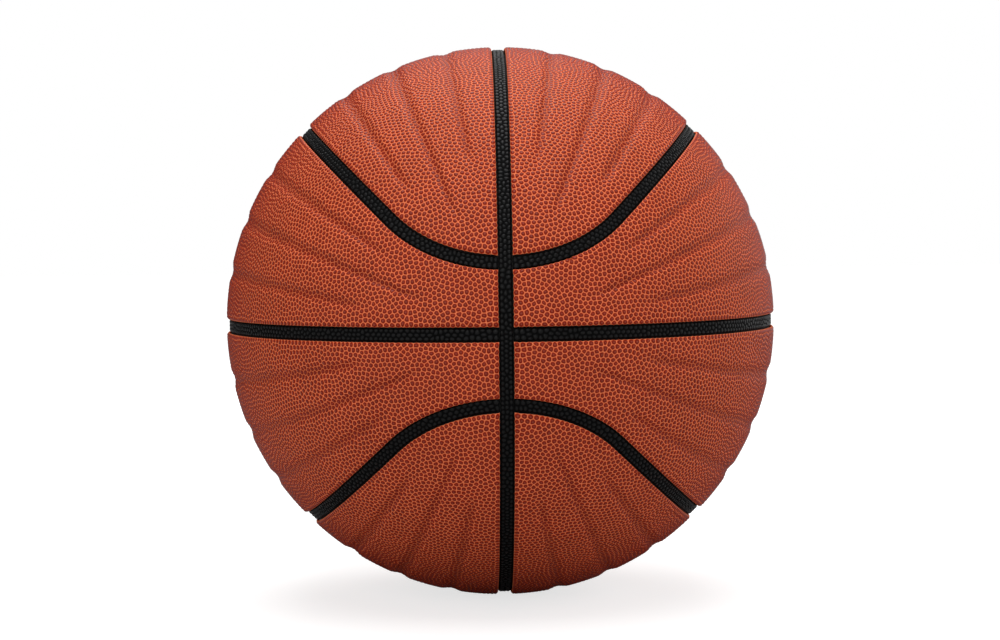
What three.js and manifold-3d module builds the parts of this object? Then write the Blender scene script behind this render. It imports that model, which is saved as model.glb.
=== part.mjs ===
// A laminated composite-leather basketball, in millimetres, with +Z up and its centre at the origin.
// Eight cover panels lie on sponge pads, with black strips inlaid in the channels between them.
// Inside are the rubber carcass, the thread winding, the air bladder and a valve with a pull-out core.
import * as THREE from 'three';
import { mergeVertices } from 'three/addons/utils/BufferGeometryUtils.js';
import Module from 'manifold-3d';

// Layers, from the cover inwards
const CIRCUMFERENCE = 749;
const COVER_THICKNESS = 1.4;
const PAD_THICKNESS = 1.6;
const CARCASS_THICKNESS = 0.9;
const WINDING_THICKNESS = 0.8;
const BLADDER_THICKNESS = 1;
const LAYER_GAP = 0.3;

// Channels between the panels, and the strips laid in them
const CHANNEL_WIDTH = 5.8;
const CHANNEL_DEPTH = 1.2;
const STRIP_CLEARANCE = 0.3;
const PANEL_EDGE_WALL = 0.6;

// Where a cap seam crosses the upright seam, measured along the surface from the level seam
const CAP_SEAM_CROSSING = 28.2;

// Grip grooves pressed into each panel, with their starts measured along the surface from a pole
const GROOVE_WIDTH = 10;
const GROOVE_FADE = 18;
const COVER_UNDER_GROOVE = 0.55;
const BAND_GROOVE_STARTS = [54, 32, 54];
const CAP_GROOVE_STARTS = [67, 47, 67];

// Valve, with its place measured along the surface from the pole nearest to it
const VALVE_FROM_POLE = 108;
const VALVE_RECESS = 0.8;
const VALVE_CLEARANCE = 0.3;
const STEM_WALL = 1.1;
const STEM_BELOW_FLANGE = 11;
const FLANGE_DIAMETER = 26;
const FLANGE_THICKNESS = 1.6;
const CORE_DIAMETER = 4.2;
const CORE_LENGTH = 18;
const CORE_CLOSED_END = 9;
const CORE_TIP_ROUND = 1;
const CORE_HEAD_LIP = 0.7;
const CORE_HEAD_THICKNESS = 1.2;
const NEEDLE_HOLE_DIAMETER = 1.6;
const NEEDLE_LEAD_IN = 0.6;

// Facet counts
const END_STEPS = 2;
const FILLET_STEPS = 4;
const RUN_STEPS = 10;
const BALL_STEPS = 3;
const VALVE_SIDES = 16;

// Corners of facets closer than this are one
const MERGE_DISTANCE = 1e-4;

// Radii of the cover, the pads and the strips
const RADIUS = CIRCUMFERENCE / (2 * Math.PI);
const COVER_INNER = RADIUS - COVER_THICKNESS;
const PAD_OUTER = COVER_INNER - LAYER_GAP;
const PAD_INNER = PAD_OUTER - PAD_THICKNESS;
const STRIP_TOP = RADIUS - CHANNEL_DEPTH;
const EDGE_ROUND = COVER_THICKNESS - PANEL_EDGE_WALL;
const GROOVE_DEPTH = COVER_THICKNESS - COVER_UNDER_GROOVE;

// Angles seen from the centre
const HALF_CHANNEL = CHANNEL_WIDTH / 2 / RADIUS;
const HALF_STRIP = (CHANNEL_WIDTH / 2 - STRIP_CLEARANCE) / RADIUS;
const SHOULDER = HALF_CHANNEL + EDGE_ROUND / RADIUS;
const CROSSING = CAP_SEAM_CROSSING / RADIUS;

// The level seam lies in z = 0 and the upright seam in x = 0, and they cross at the front and back
// poles on the Y axis. A cap seam runs midway between them and turns by a circular fillet, in the
// surface, to cross the upright seam square.
const CAP_TURN = Math.PI / 4;
const FILLET_CENTRE = Math.atan2(Math.sin(CROSSING), Math.cos(CROSSING) - Math.cos(CAP_TURN));
const FILLET_RADIUS = FILLET_CENTRE - CROSSING;
const FILLET_SWING = Math.acos(Math.tan(FILLET_RADIUS) / Math.tan(FILLET_CENTRE));
const FILLET_END = Math.atan(Math.tan(FILLET_CENTRE) * Math.sin(CAP_TURN));
const RUN_STEP = (Math.PI - 2 * FILLET_END) / RUN_STEPS;

// Grooves share a panel's width evenly, and near the poles none is wider than a share of its pitch.
const GROOVES = BAND_GROOVE_STARTS.length;
const GROOVE_PITCH = CAP_TURN / (GROOVES + 1);
const GROOVE_SHARE = 0.4;

// Radii of the inner layers. The carcass's flat facets dip below its round outside, and its wall is
// measured from where they are lowest.
const CARCASS_OUTER = PAD_INNER - LAYER_GAP;
const CARCASS_LOWEST = CARCASS_OUTER * Math.cos(GROOVE_PITCH / 2) * Math.cos(RUN_STEP / 2);
const CARCASS_INNER = CARCASS_LOWEST - CARCASS_THICKNESS;
const WINDING_OUTER = CARCASS_INNER - LAYER_GAP;
const WINDING_INNER = WINDING_OUTER - WINDING_THICKNESS;
const BLADDER_OUTER = WINDING_INNER - LAYER_GAP;
const BLADDER_INNER = BLADDER_OUTER - BLADDER_THICKNESS;

const { lerp, smoothstep } = THREE.MathUtils;
const wasm = await Module();
wasm.setup();

// Directions on the ball are a polar angle from the front pole and a turn about the Y axis.
function direction(polar, turn) {
  const across = Math.sin(polar);
  return new THREE.Vector3(across * Math.cos(turn), -Math.cos(polar), across * Math.sin(turn));
}

function anglesOf(point) {
  return { polar: Math.acos(-point.y), turn: Math.atan2(point.z, point.x) };
}

// Each seam is followed by the angle run along it, and a point lies aside from it by an angle.
function besideLevel(run, aside) {
  const foot = direction(run, 0).multiplyScalar(Math.cos(aside));
  return foot.addScaledVector(new THREE.Vector3(0, 0, 1), Math.sin(aside));
}

function besideUpright(run, aside) {
  const foot = direction(run, Math.PI / 2).multiplyScalar(Math.cos(aside));
  return foot.addScaledVector(new THREE.Vector3(1, 0, 0), Math.sin(aside));
}

function besideCapRun(run, aside) {
  const foot = direction(run, CAP_TURN).multiplyScalar(Math.cos(aside));
  return foot.addScaledVector(direction(Math.PI / 2, CAP_TURN + Math.PI / 2), Math.sin(aside));
}

// The fillet is a circle about a centre on the upright seam. Aside is positive towards that centre.
function besideFillet(swing, aside) {
  const reach = FILLET_RADIUS - aside;
  const centre = direction(FILLET_CENTRE, Math.PI / 2);
  const towardsPole = direction(FILLET_CENTRE - Math.PI / 2, Math.PI / 2);
  return centre
    .multiplyScalar(Math.cos(reach))
    .addScaledVector(towardsPole, Math.sin(reach) * Math.cos(swing))
    .addScaledVector(new THREE.Vector3(1, 0, 0), Math.sin(reach) * Math.sin(swing));
}

// The swing at which the fillet, or a line beside it, comes within a given angle of the upright seam.
function swingAt(fromUpright, aside) {
  return Math.asin(Math.sin(fromUpright) / Math.sin(FILLET_RADIUS - aside));
}

function steps(count, placeAt) {
  return Array.from({ length: count + 1 }, (unused, step) => placeAt(step / count));
}

function mirroredToBack(front) {
  return front.map((point) => new THREE.Vector3(point.x, -point.y, point.z)).reverse();
}

// A line from pole to pole: its front end, the straight run, and the front end mirrored to the back.
function poleToPole(front, beside, aside) {
  const run = steps(RUN_STEPS, (share) => beside(lerp(FILLET_END, Math.PI - FILLET_END, share), aside));
  return [...front, ...run.slice(1, -1), ...mirroredToBack(front)];
}

function capSeamLine(aside, fromUpright) {
  const start = swingAt(fromUpright, aside);
  const front = steps(FILLET_STEPS, (share) => besideFillet(lerp(start, FILLET_SWING, share), aside));
  return poleToPole(front, besideCapRun, aside);
}

// The stretch beside the level or the upright seam from the pole to the cap seams, without its ends.
function besideCrossing(beside, aside) {
  return steps(END_STEPS, (share) => beside(share * CROSSING, aside)).slice(1, -1);
}

function greatCircleLine(beside, aside, corner) {
  const fillet = steps(FILLET_STEPS, (share) => beside(lerp(CROSSING, FILLET_END, share), aside));
  return poleToPole([corner, ...besideCrossing(beside, aside), ...fillet], beside, aside);
}

// The two long edges of a panel that keeps a given angle from each seam. A band panel has a short
// edge at each end too, which is counted with its upper edge.
function bandEdges(inset) {
  const side = Math.sin(inset);
  const corner = new THREE.Vector3(side, -Math.sqrt(1 - 2 * side * side), side);
  const shortEdge = [corner, ...besideCrossing(besideUpright, inset)];
  return {
    lower: greatCircleLine(besideLevel, inset, corner),
    upper: [...shortEdge, ...capSeamLine(-inset, inset), ...mirroredToBack(shortEdge)],
  };
}

function capEdges(inset) {
  const lower = capSeamLine(inset, inset);
  const end = Math.atan2(lower[0].z, -lower[0].y);
  const front = steps(FILLET_STEPS, (share) => besideUpright(lerp(end, FILLET_END, share), inset));
  return { lower, upper: poleToPole(front, besideUpright, inset) };
}

// Rows of directions across a panel: edge, shoulder, the two sides and the bed of each groove,
// shoulder, edge. Each row also says how deep it lies below the ball's surface. The grooves' rows are
// meridians from the polar angle straight on, and fan out to the panel's corners before fanned.
function panelRows(edgesAt, lowestTurn, starts, fanned, straight) {
  const edge = edgesAt(HALF_CHANNEL);
  const shoulder = edgesAt(SHOULDER);
  const grooveRow = (column, groove, side) => {
    const low = anglesOf(shoulder.lower[column]);
    const high = anglesOf(shoulder.upper[column]);
    const share = (groove + side * GROOVE_SHARE) / (GROOVES + 1);
    const polar = lerp(low.polar, high.polar, share);
    const fromPole = Math.min(polar, Math.PI - polar);
    const halfWidth = Math.asin(Math.min(1, GROOVE_WIDTH / 2 / RADIUS / Math.sin(polar)));
    const aside = side * Math.min(halfWidth, GROOVE_SHARE * GROOVE_PITCH);
    const meridian = lowestTurn + groove * GROOVE_PITCH + aside;
    const alongMeridian = smoothstep(fromPole, fanned, straight);
    const start = starts[groove - 1];
    const fade = smoothstep(fromPole * RADIUS, start, start + GROOVE_FADE);
    const place = direction(polar, lerp(lerp(low.turn, high.turn, share), meridian, alongMeridian));
    return { place, depth: side === 0 ? GROOVE_DEPTH * fade : 0, bed: side === 0 };
  };
  return edge.lower.map((unused, column) => {
    const grooves = [];
    for (let groove = 1; groove <= GROOVES; groove += 1) {
      grooves.push(...[-1, 0, 1].map((side) => grooveRow(column, groove, side)));
    }
    return [
      { place: edge.lower[column], depth: EDGE_ROUND, bed: true },
      { place: shoulder.lower[column], depth: 0, bed: false },
      ...grooves,
      { place: shoulder.upper[column], depth: 0, bed: false },
      { place: edge.upper[column], depth: EDGE_ROUND, bed: true },
    ];
  });
}

const bandStraight = Math.min(...BAND_GROOVE_STARTS) / RADIUS;
const capFanned = FILLET_CENTRE - FILLET_RADIUS / 2;
const bandRows = panelRows(bandEdges, 0, BAND_GROOVE_STARTS, CROSSING / 2, bandStraight);
const capRows = panelRows(capEdges, CAP_TURN, CAP_GROOVE_STARTS, capFanned, FILLET_END);

// Each quarter of the ball, seen from the front, is the upper right one turned half round an axis.
const QUARTERS = {
  upper_right: new THREE.Euler(),
  upper_left: new THREE.Euler(0, 0, Math.PI),
  lower_right: new THREE.Euler(Math.PI, 0, 0),
  lower_left: new THREE.Euler(0, Math.PI, 0),
};

// A closed mesh gathered from triangles. Corners that coincide become one, and a triangle that
// has shrunk to a line or a point is left out.
class Surface {
  constructor() {
    this.positions = [];
    this.indices = [];
    this.known = new Map();
  }

  corner(point) {
    const key = point.toArray().map((value) => Math.round(value / MERGE_DISTANCE)).join();
    if (!this.known.has(key)) {
      this.known.set(key, this.positions.length / 3);
      this.positions.push(point.x, point.y, point.z);
    }
    return this.known.get(key);
  }

  triangle(...points) {
    const corners = points.map((point) => this.corner(point));
    if (new Set(corners).size === 3) {
      this.indices.push(...corners);
    }
  }

  quad(a, b, c, d) {
    this.triangle(a, b, c);
    this.triangle(a, c, d);
  }

  net(columns) {
    for (let column = 0; column < columns.length - 1; column += 1) {
      const [near, far] = [columns[column], columns[column + 1]];
      for (let row = 0; row < near.length - 1; row += 1) {
        this.quad(near[row], far[row], far[row + 1], near[row + 1]);
      }
    }
  }

  geometry() {
    const geometry = new THREE.BufferGeometry();
    geometry.setAttribute('position', new THREE.Float32BufferAttribute(this.positions, 3));
    geometry.setIndex(this.indices);
    return geometry;
  }
}

// A sheet on the ball, from its outer and inner columns of points, closed along its sides and,
// unless it is a ring, across its two ends.
function sheet(outer, inner, isRing = false) {
  const surface = new Surface();
  surface.net(outer);
  for (let column = 0; column < outer.length - 1; column += 1) {
    const [near, far] = [outer[column], outer[column + 1]];
    const [nearIn, farIn] = [inner[column], inner[column + 1]];
    for (let row = 0; row < nearIn.length - 1; row += 1) {
      surface.quad(nearIn[row], nearIn[row + 1], farIn[row + 1], farIn[row]);
    }
    surface.quad(nearIn[0], farIn[0], far[0], near[0]);
    surface.quad(near.at(-1), far.at(-1), farIn.at(-1), nearIn.at(-1));
  }
  if (!isRing) {
    surface.quad(inner[0][0], outer[0][0], outer[0].at(-1), inner[0].at(-1));
    const [lastOut, lastIn] = [outer.at(-1), inner.at(-1)];
    surface.quad(lastOut[0], lastIn[0], lastIn.at(-1), lastOut.at(-1));
  }
  return surface.geometry();
}

function at(place, radius) {
  return place.clone().multiplyScalar(radius);
}

function coverGeometry(rows) {
  const outer = rows.map((column) => column.map(({ place, depth }) => at(place, RADIUS - depth)));
  const beds = rows.map((column) => column.filter((row) => row.bed));
  return sheet(outer, beds.map((column) => column.map(({ place }) => at(place, COVER_INNER))));
}

function padGeometry(rows) {
  const beds = rows.map((column) => column.filter((row) => row.bed));
  const layer = (radius) => beds.map((column) => column.map(({ place }) => at(place, radius)));
  return sheet(layer(PAD_OUTER), layer(PAD_INNER));
}

// A channel strip between the lines on its two sides.
function stripGeometry(lower, upper, isRing = false) {
  const layer = (radius) => lower.map((place, column) => [at(place, radius), at(upper[column], radius)]);
  return sheet(layer(STRIP_TOP), layer(PAD_INNER), isRing);
}

function levelStrip() {
  const side = (aside) => {
    const end = Math.asin(Math.sin(HALF_CHANNEL) / Math.cos(aside));
    return greatCircleLine(besideLevel, aside, besideLevel(end, aside));
  };
  return stripGeometry(side(-HALF_STRIP), side(HALF_STRIP));
}

function capStrip() {
  return stripGeometry(capSeamLine(-HALF_STRIP, HALF_CHANNEL), capSeamLine(HALF_STRIP, HALF_CHANNEL));
}

function uprightStrip() {
  const ring = (aside) => {
    const over = greatCircleLine(besideUpright, aside, besideUpright(0, aside));
    const under = over.map((point) => new THREE.Vector3(point.x, point.y, -point.z)).reverse();
    return [...over, ...under.slice(1)];
  };
  return stripGeometry(ring(HALF_STRIP), ring(-HALF_STRIP), true);
}

// Cuts and joins
function toSolid(geometry) {
  const bare = geometry.clone();
  bare.deleteAttribute('normal');
  bare.deleteAttribute('uv');
  const merged = mergeVertices(bare, MERGE_DISTANCE);
  const corners = merged.index.array;
  const triangles = [];
  for (let first = 0; first < corners.length; first += 3) {
    const [a, b, c] = corners.slice(first, first + 3);
    if (a !== b && b !== c && c !== a) {
      triangles.push(a, b, c);
    }
  }
  return new wasm.Manifold(
    new wasm.Mesh({
      numProp: 3,
      vertProperties: new Float32Array(merged.attributes.position.array),
      triVerts: new Uint32Array(triangles),
    }),
  );
}

function toGeometry(solid) {
  const { vertProperties, triVerts } = solid.getMesh();
  const geometry = new THREE.BufferGeometry();
  geometry.setAttribute('position', new THREE.Float32BufferAttribute(vertProperties, 3));
  geometry.setIndex(Array.from(triVerts));
  return geometry;
}

// The valve lies on the land between the first two grooves of its panel. Its round pieces are turned
// about its axis, from profiles of [radius, height above the ball's centre].
const VALVE_TURN = 1.5 * GROOVE_PITCH;
const VALVE_TILT = new THREE.Quaternion().setFromUnitVectors(
  new THREE.Vector3(0, 0, 1),
  direction(VALVE_FROM_POLE / RADIUS, VALVE_TURN),
);
const VALVE_TOP = RADIUS - VALVE_RECESS;
const OUTSIDE = 2 * RADIUS;
const NEEDLE_RADIUS = NEEDLE_HOLE_DIAMETER / 2;
const CORE_RADIUS = CORE_DIAMETER / 2;
const CORE_BOTTOM = VALVE_TOP - CORE_LENGTH;
const HEAD_RADIUS = CORE_RADIUS + CORE_HEAD_LIP;
const HEAD_BOTTOM = VALVE_TOP - CORE_HEAD_THICKNESS;
const BORE_RADIUS = CORE_RADIUS + VALVE_CLEARANCE;
const HEAD_SEAT_RADIUS = HEAD_RADIUS + VALVE_CLEARANCE;
const HEAD_SEAT = HEAD_BOTTOM - VALVE_CLEARANCE;
const STEM_RADIUS = HEAD_SEAT_RADIUS + STEM_WALL;
const FLANGE_TOP = BLADDER_INNER - LAYER_GAP;
const FLANGE_BOTTOM = FLANGE_TOP - FLANGE_THICKNESS;

function onValveAxis(profile) {
  const points = profile.map(([radius, height]) => new THREE.Vector2(radius, height));
  const geometry = new THREE.LatheGeometry(points, VALVE_SIDES);
  return geometry.rotateX(Math.PI / 2).applyQuaternion(VALVE_TILT);
}

function valveCylinder(radius, bottom, top) {
  return onValveAxis([[0, bottom], [radius, bottom], [radius, top], [0, top]]);
}

const valveHole = toSolid(valveCylinder(STEM_RADIUS + VALVE_CLEARANCE, 0, OUTSIDE));

function withValveHole(geometry) {
  return toGeometry(toSolid(geometry).subtract(valveHole));
}

function ball(radius) {
  return toSolid(new THREE.IcosahedronGeometry(radius, BALL_STEPS));
}

function shell(outer, inner) {
  return toGeometry(outer.subtract(ball(inner)).subtract(valveHole));
}

// The carcass carries the panels' own net of facets on its outside, drawn out to the middle of each
// seam, so that every pad lies on it evenly.
function carcassOutside() {
  const surface = new Surface();
  const addNet = (rows, { lower, upper }, turn) => {
    const columns = rows.map((column, station) => {
      const beds = column.filter((row) => row.bed).map((row) => row.place);
      const places = [lower[station], ...beds.slice(1, -1), upper[station]];
      return places.map((place) => at(place, CARCASS_OUTER).applyEuler(turn));
    });
    surface.net(columns);
  };
  for (const turn of Object.values(QUARTERS)) {
    addNet(bandRows, bandEdges(0), turn);
    addNet(capRows, capEdges(0), turn);
  }
  return toSolid(surface.geometry());
}

// The housing's flange follows the inside of the bladder, and its stem comes out to the cover.
function valveHousing() {
  const disc = toSolid(valveCylinder(FLANGE_DIAMETER / 2, 0, OUTSIDE));
  const flange = ball(FLANGE_TOP).subtract(ball(FLANGE_BOTTOM)).intersect(disc);
  const stem = toSolid(valveCylinder(STEM_RADIUS, FLANGE_BOTTOM - STEM_BELOW_FLANGE, VALVE_TOP));
  const bore = toSolid(
    onValveAxis([
      [0, 0],
      [BORE_RADIUS, 0],
      [BORE_RADIUS, HEAD_SEAT],
      [HEAD_SEAT_RADIUS, HEAD_SEAT],
      [HEAD_SEAT_RADIUS, OUTSIDE],
      [0, OUTSIDE],
    ]),
  );
  return toGeometry(flange.add(stem).subtract(bore));
}

// The core is a rubber plug with a needle hole that ends in its closed slit.
function valveCore() {
  const holeBottom = CORE_BOTTOM + CORE_CLOSED_END;
  return onValveAxis([
    [0, CORE_BOTTOM],
    [CORE_RADIUS - CORE_TIP_ROUND, CORE_BOTTOM],
    [CORE_RADIUS, CORE_BOTTOM + CORE_TIP_ROUND],
    [CORE_RADIUS, HEAD_BOTTOM],
    [HEAD_RADIUS, HEAD_BOTTOM],
    [HEAD_RADIUS, VALVE_TOP],
    [NEEDLE_RADIUS + NEEDLE_LEAD_IN, VALVE_TOP],
    [NEEDLE_RADIUS, VALVE_TOP - NEEDLE_LEAD_IN],
    [NEEDLE_RADIUS, holeBottom],
    [0, holeBottom],
  ]);
}

function material(color, roughness) {
  return new THREE.MeshStandardMaterial({ color, roughness, metalness: 0 });
}

const LEATHER = material(0xb04a2c, 0.6);
const CHANNEL_BLACK = material(0x161616, 0.55);
const SPONGE = material(0x4a4a48, 0.95);
const CARCASS_RUBBER = material(0x202020, 0.8);
const NYLON = material(0xd9d3c4, 0.7);
const BUTYL = material(0x141414, 0.6);
const VALVE_RUBBER = material(0x1b1b1b, 0.5);

const VALVE_QUARTER = 'upper_left';

const basketball = new THREE.Group();

function addPiece(name, geometry, finish, parent) {
  const mesh = new THREE.Mesh(geometry, finish);
  mesh.name = name;
  parent.add(mesh);
}

for (const [quarter, turn] of Object.entries(QUARTERS)) {
  const group = new THREE.Group();
  group.rotation.copy(turn);
  basketball.add(group);
  const pierced = quarter === VALVE_QUARTER ? withValveHole : (geometry) => geometry;
  addPiece(`cover_band_${quarter}`, pierced(coverGeometry(bandRows)), LEATHER, group);
  addPiece(`pad_band_${quarter}`, pierced(padGeometry(bandRows)), SPONGE, group);
  addPiece(`cover_cap_${quarter}`, coverGeometry(capRows), LEATHER, group);
  addPiece(`pad_cap_${quarter}`, padGeometry(capRows), SPONGE, group);
  addPiece(`strip_cap_${quarter}`, capStrip(), CHANNEL_BLACK, group);
  if (quarter === VALVE_QUARTER) {
    addPiece('carcass', shell(carcassOutside(), CARCASS_INNER), CARCASS_RUBBER, group);
    addPiece('thread_winding', shell(ball(WINDING_OUTER), WINDING_INNER), NYLON, group);
    addPiece('bladder', shell(ball(BLADDER_OUTER), BLADDER_INNER), BUTYL, group);
    addPiece('valve_housing', valveHousing(), VALVE_RUBBER, group);
    addPiece('valve_core', valveCore(), VALVE_RUBBER, group);
  }
}

const leftSide = new THREE.Group();
leftSide.rotation.set(0, Math.PI, 0);
basketball.add(leftSide);
addPiece('strip_level_right', levelStrip(), CHANNEL_BLACK, basketball);
addPiece('strip_level_left', levelStrip(), CHANNEL_BLACK, leftSide);
addPiece('strip_upright', uprightStrip(), CHANNEL_BLACK, basketball);

export default basketball;
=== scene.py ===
"""A laminated composite-leather basketball, dressed for a studio photograph.

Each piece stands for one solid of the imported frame: the pebbled cover panels and channel
strips, the sponge pads, the inner shells and the valve. Sizes are in millimetres until a mesh
is made.
"""
import logging
import math
from dataclasses import dataclass
from enum import Enum
from typing import Callable, ClassVar, Sequence

import bmesh
import bpy
import numpy as np
from mathutils import Matrix, Quaternion, Vector
from mathutils.geometry import delaunay_2d_cdt
from mathutils.kdtree import KDTree


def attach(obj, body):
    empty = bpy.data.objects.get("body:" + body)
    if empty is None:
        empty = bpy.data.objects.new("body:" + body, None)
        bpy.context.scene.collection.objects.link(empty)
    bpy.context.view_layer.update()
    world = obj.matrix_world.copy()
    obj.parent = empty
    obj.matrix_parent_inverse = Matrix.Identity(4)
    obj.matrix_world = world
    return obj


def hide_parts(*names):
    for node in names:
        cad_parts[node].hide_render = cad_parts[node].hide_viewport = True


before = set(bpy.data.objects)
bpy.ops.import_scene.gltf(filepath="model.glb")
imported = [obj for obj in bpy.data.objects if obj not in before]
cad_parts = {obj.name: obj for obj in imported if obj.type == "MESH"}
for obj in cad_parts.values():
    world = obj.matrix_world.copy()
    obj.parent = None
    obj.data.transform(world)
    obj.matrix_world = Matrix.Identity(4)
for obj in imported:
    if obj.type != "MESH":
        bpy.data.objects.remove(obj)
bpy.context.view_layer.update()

LOG = logging.getLogger("basketball")
BAKE_MAP = "OFBake"
MILLIMETRE = 0.001
TINY = 1e-9
SRGB_KNEE, SRGB_SLOPE, SRGB_LIFT, SRGB_POWER = 0.04045, 12.92, 0.055, 2.4
RIGHT = np.array((1.0, 0.0, 0.0))
UP = np.array((0.0, 0.0, 1.0))

Array = np.ndarray
Colour = tuple[float, float, float, float]
Profile = Sequence[tuple[float, float]]
Beside = Callable[[Array, Array], Array]
Socket = bpy.types.NodeSocket
Sockets = bpy.types.bpy_prop_collection
Feed = Socket | float | tuple[float, ...]


class Body(Enum):
    """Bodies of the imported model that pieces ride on."""

    BALL = "ball"
    CORE = "core"


class Slot(Enum):
    """Material slots of the record."""

    COVER = "cover_leather"
    CHANNEL = "channel_leather"
    SPONGE = "sponge"
    CARCASS = "carcass_rubber"
    THREAD = "nylon_thread"
    BLADDER = "butyl"
    VALVE = "valve_rubber"
    CORE = "core_rubber"


class Mark(Enum):
    """Values that each point of a sheet carries for its finish."""

    PEBBLE = "pebble"
    TONE = "tone"
    FOLD = "fold"


class PanelKind(Enum):
    """Kinds of panel: those beside the level seam, and those above and below them."""

    BAND = "band"
    CAP = "cap"


class LayerKind(Enum):
    """Layers of a panel."""

    COVER = "cover"
    PAD = "pad"


class Quarter(Enum):
    """Quarters of the ball seen from the front, each with the signs of its half turn."""

    UPPER_RIGHT = (1, 1, 1)
    UPPER_LEFT = (-1, -1, 1)
    LOWER_RIGHT = (1, -1, -1)
    LOWER_LEFT = (-1, 1, -1)

    @property
    def label(self) -> str:
        """The quarter's name as the nodes spell it."""
        return self.name.lower()


VALVE_QUARTER = Quarter.UPPER_LEFT


def srgb(red: int, green: int, blue: int) -> Colour:
    """Turns a colour as a screen shows it into the linear colour that shaders take.

    Args:
        red: Red from 0 to 255.
        green: Green from 0 to 255.
        blue: Blue from 0 to 255.

    Returns:
        The linear colour with full alpha.
    """
    linear = []
    for part in (red / 255, green / 255, blue / 255):
        curved = ((part + SRGB_LIFT) / (1 + SRGB_LIFT)) ** SRGB_POWER
        linear.append(part / SRGB_SLOPE if part <= SRGB_KNEE else curved)
    return (*linear, 1.0)


def smoothstep(value: Array, low: float, high: float) -> Array:
    """Rises smoothly from 0 at low to 1 at high."""
    share = np.clip((value - low) / (high - low), 0.0, 1.0)
    return share * share * (3.0 - 2.0 * share)


def direction(polar: Array | float, turn: Array | float) -> Array:
    """Gives unit vectors from the ball's centre.

    Args:
        polar: Angle from the front pole, on the -Y axis.
        turn: Angle about the Y axis, from +X towards +Z.

    Returns:
        The directions, with x, y and z on the last axis.
    """
    polar, turn = np.broadcast_arrays(np.asarray(polar, float), np.asarray(turn, float))
    across = np.sin(polar)
    return np.stack((across * np.cos(turn), -np.cos(polar), across * np.sin(turn)), axis=-1)


def offset(foot: Array, side: Array, aside: Array | float) -> Array:
    """Moves directions by an angle towards a side that is square to them."""
    angle = np.asarray(aside, float)[..., None]
    return foot * np.cos(angle) + side * np.sin(angle)


def weld(mesh: bpy.types.Mesh, reach: float) -> None:
    """Joins the points of a closed mesh that fall together and turns its faces outward.

    Args:
        mesh: The mesh, in metres.
        reach: How far apart such points may lie, in metres.
    """
    shaper = bmesh.new()
    shaper.from_mesh(mesh)
    bmesh.ops.remove_doubles(shaper, verts=shaper.verts, dist=reach)
    bmesh.ops.recalc_face_normals(shaper, faces=shaper.faces)
    shaper.to_mesh(mesh)
    shaper.free()


@dataclass(frozen=True)
class BallSizes:
    """Sizes of the ball's layers, channels and grooves, as its solids have them."""

    circumference: float = 749.0
    cover_thickness: float = 1.4
    pad_thickness: float = 1.6
    layer_gap: float = 0.3
    carcass_inner: float = 113.55
    winding_thickness: float = 0.8
    bladder_thickness: float = 1.0
    channel_width: float = 5.8
    channel_depth: float = 1.2
    strip_clearance: float = 0.3
    cap_seam_crossing: float = 28.2
    groove_width: float = 10.0
    groove_depth: float = 0.85
    groove_fade: float = 18.0
    band_groove_starts: tuple[float, ...] = (54.0, 32.0, 54.0)
    cap_groove_starts: tuple[float, ...] = (67.0, 47.0, 67.0)

    @property
    def radius(self) -> float:
        """Radius over the pebbles' tops."""
        return self.circumference / (2 * math.pi)

    @property
    def cover_inner(self) -> float:
        """Radius of the covers' underside."""
        return self.radius - self.cover_thickness

    @property
    def pad_outer(self) -> float:
        """Radius of the pads' outside."""
        return self.cover_inner - self.layer_gap

    @property
    def pad_inner(self) -> float:
        """Radius of the underside of the pads and the strips."""
        return self.pad_outer - self.pad_thickness

    @property
    def carcass_outer(self) -> float:
        """Radius of the carcass's outside."""
        return self.pad_inner - self.layer_gap

    @property
    def winding_outer(self) -> float:
        """Radius of the winding's outside."""
        return self.carcass_inner - self.layer_gap

    @property
    def winding_inner(self) -> float:
        """Radius of the winding's inside."""
        return self.winding_outer - self.winding_thickness

    @property
    def bladder_outer(self) -> float:
        """Radius of the bladder's outside."""
        return self.winding_inner - self.layer_gap

    @property
    def bladder_inner(self) -> float:
        """Radius of the bladder's inside."""
        return self.bladder_outer - self.bladder_thickness

    @property
    def half_channel(self) -> float:
        """Half the width of a channel, as an angle."""
        return self.channel_width / 2 / self.radius

    @property
    def half_strip(self) -> float:
        """Half the width of a strip, in millimetres."""
        return self.channel_width / 2 - self.strip_clearance


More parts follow.
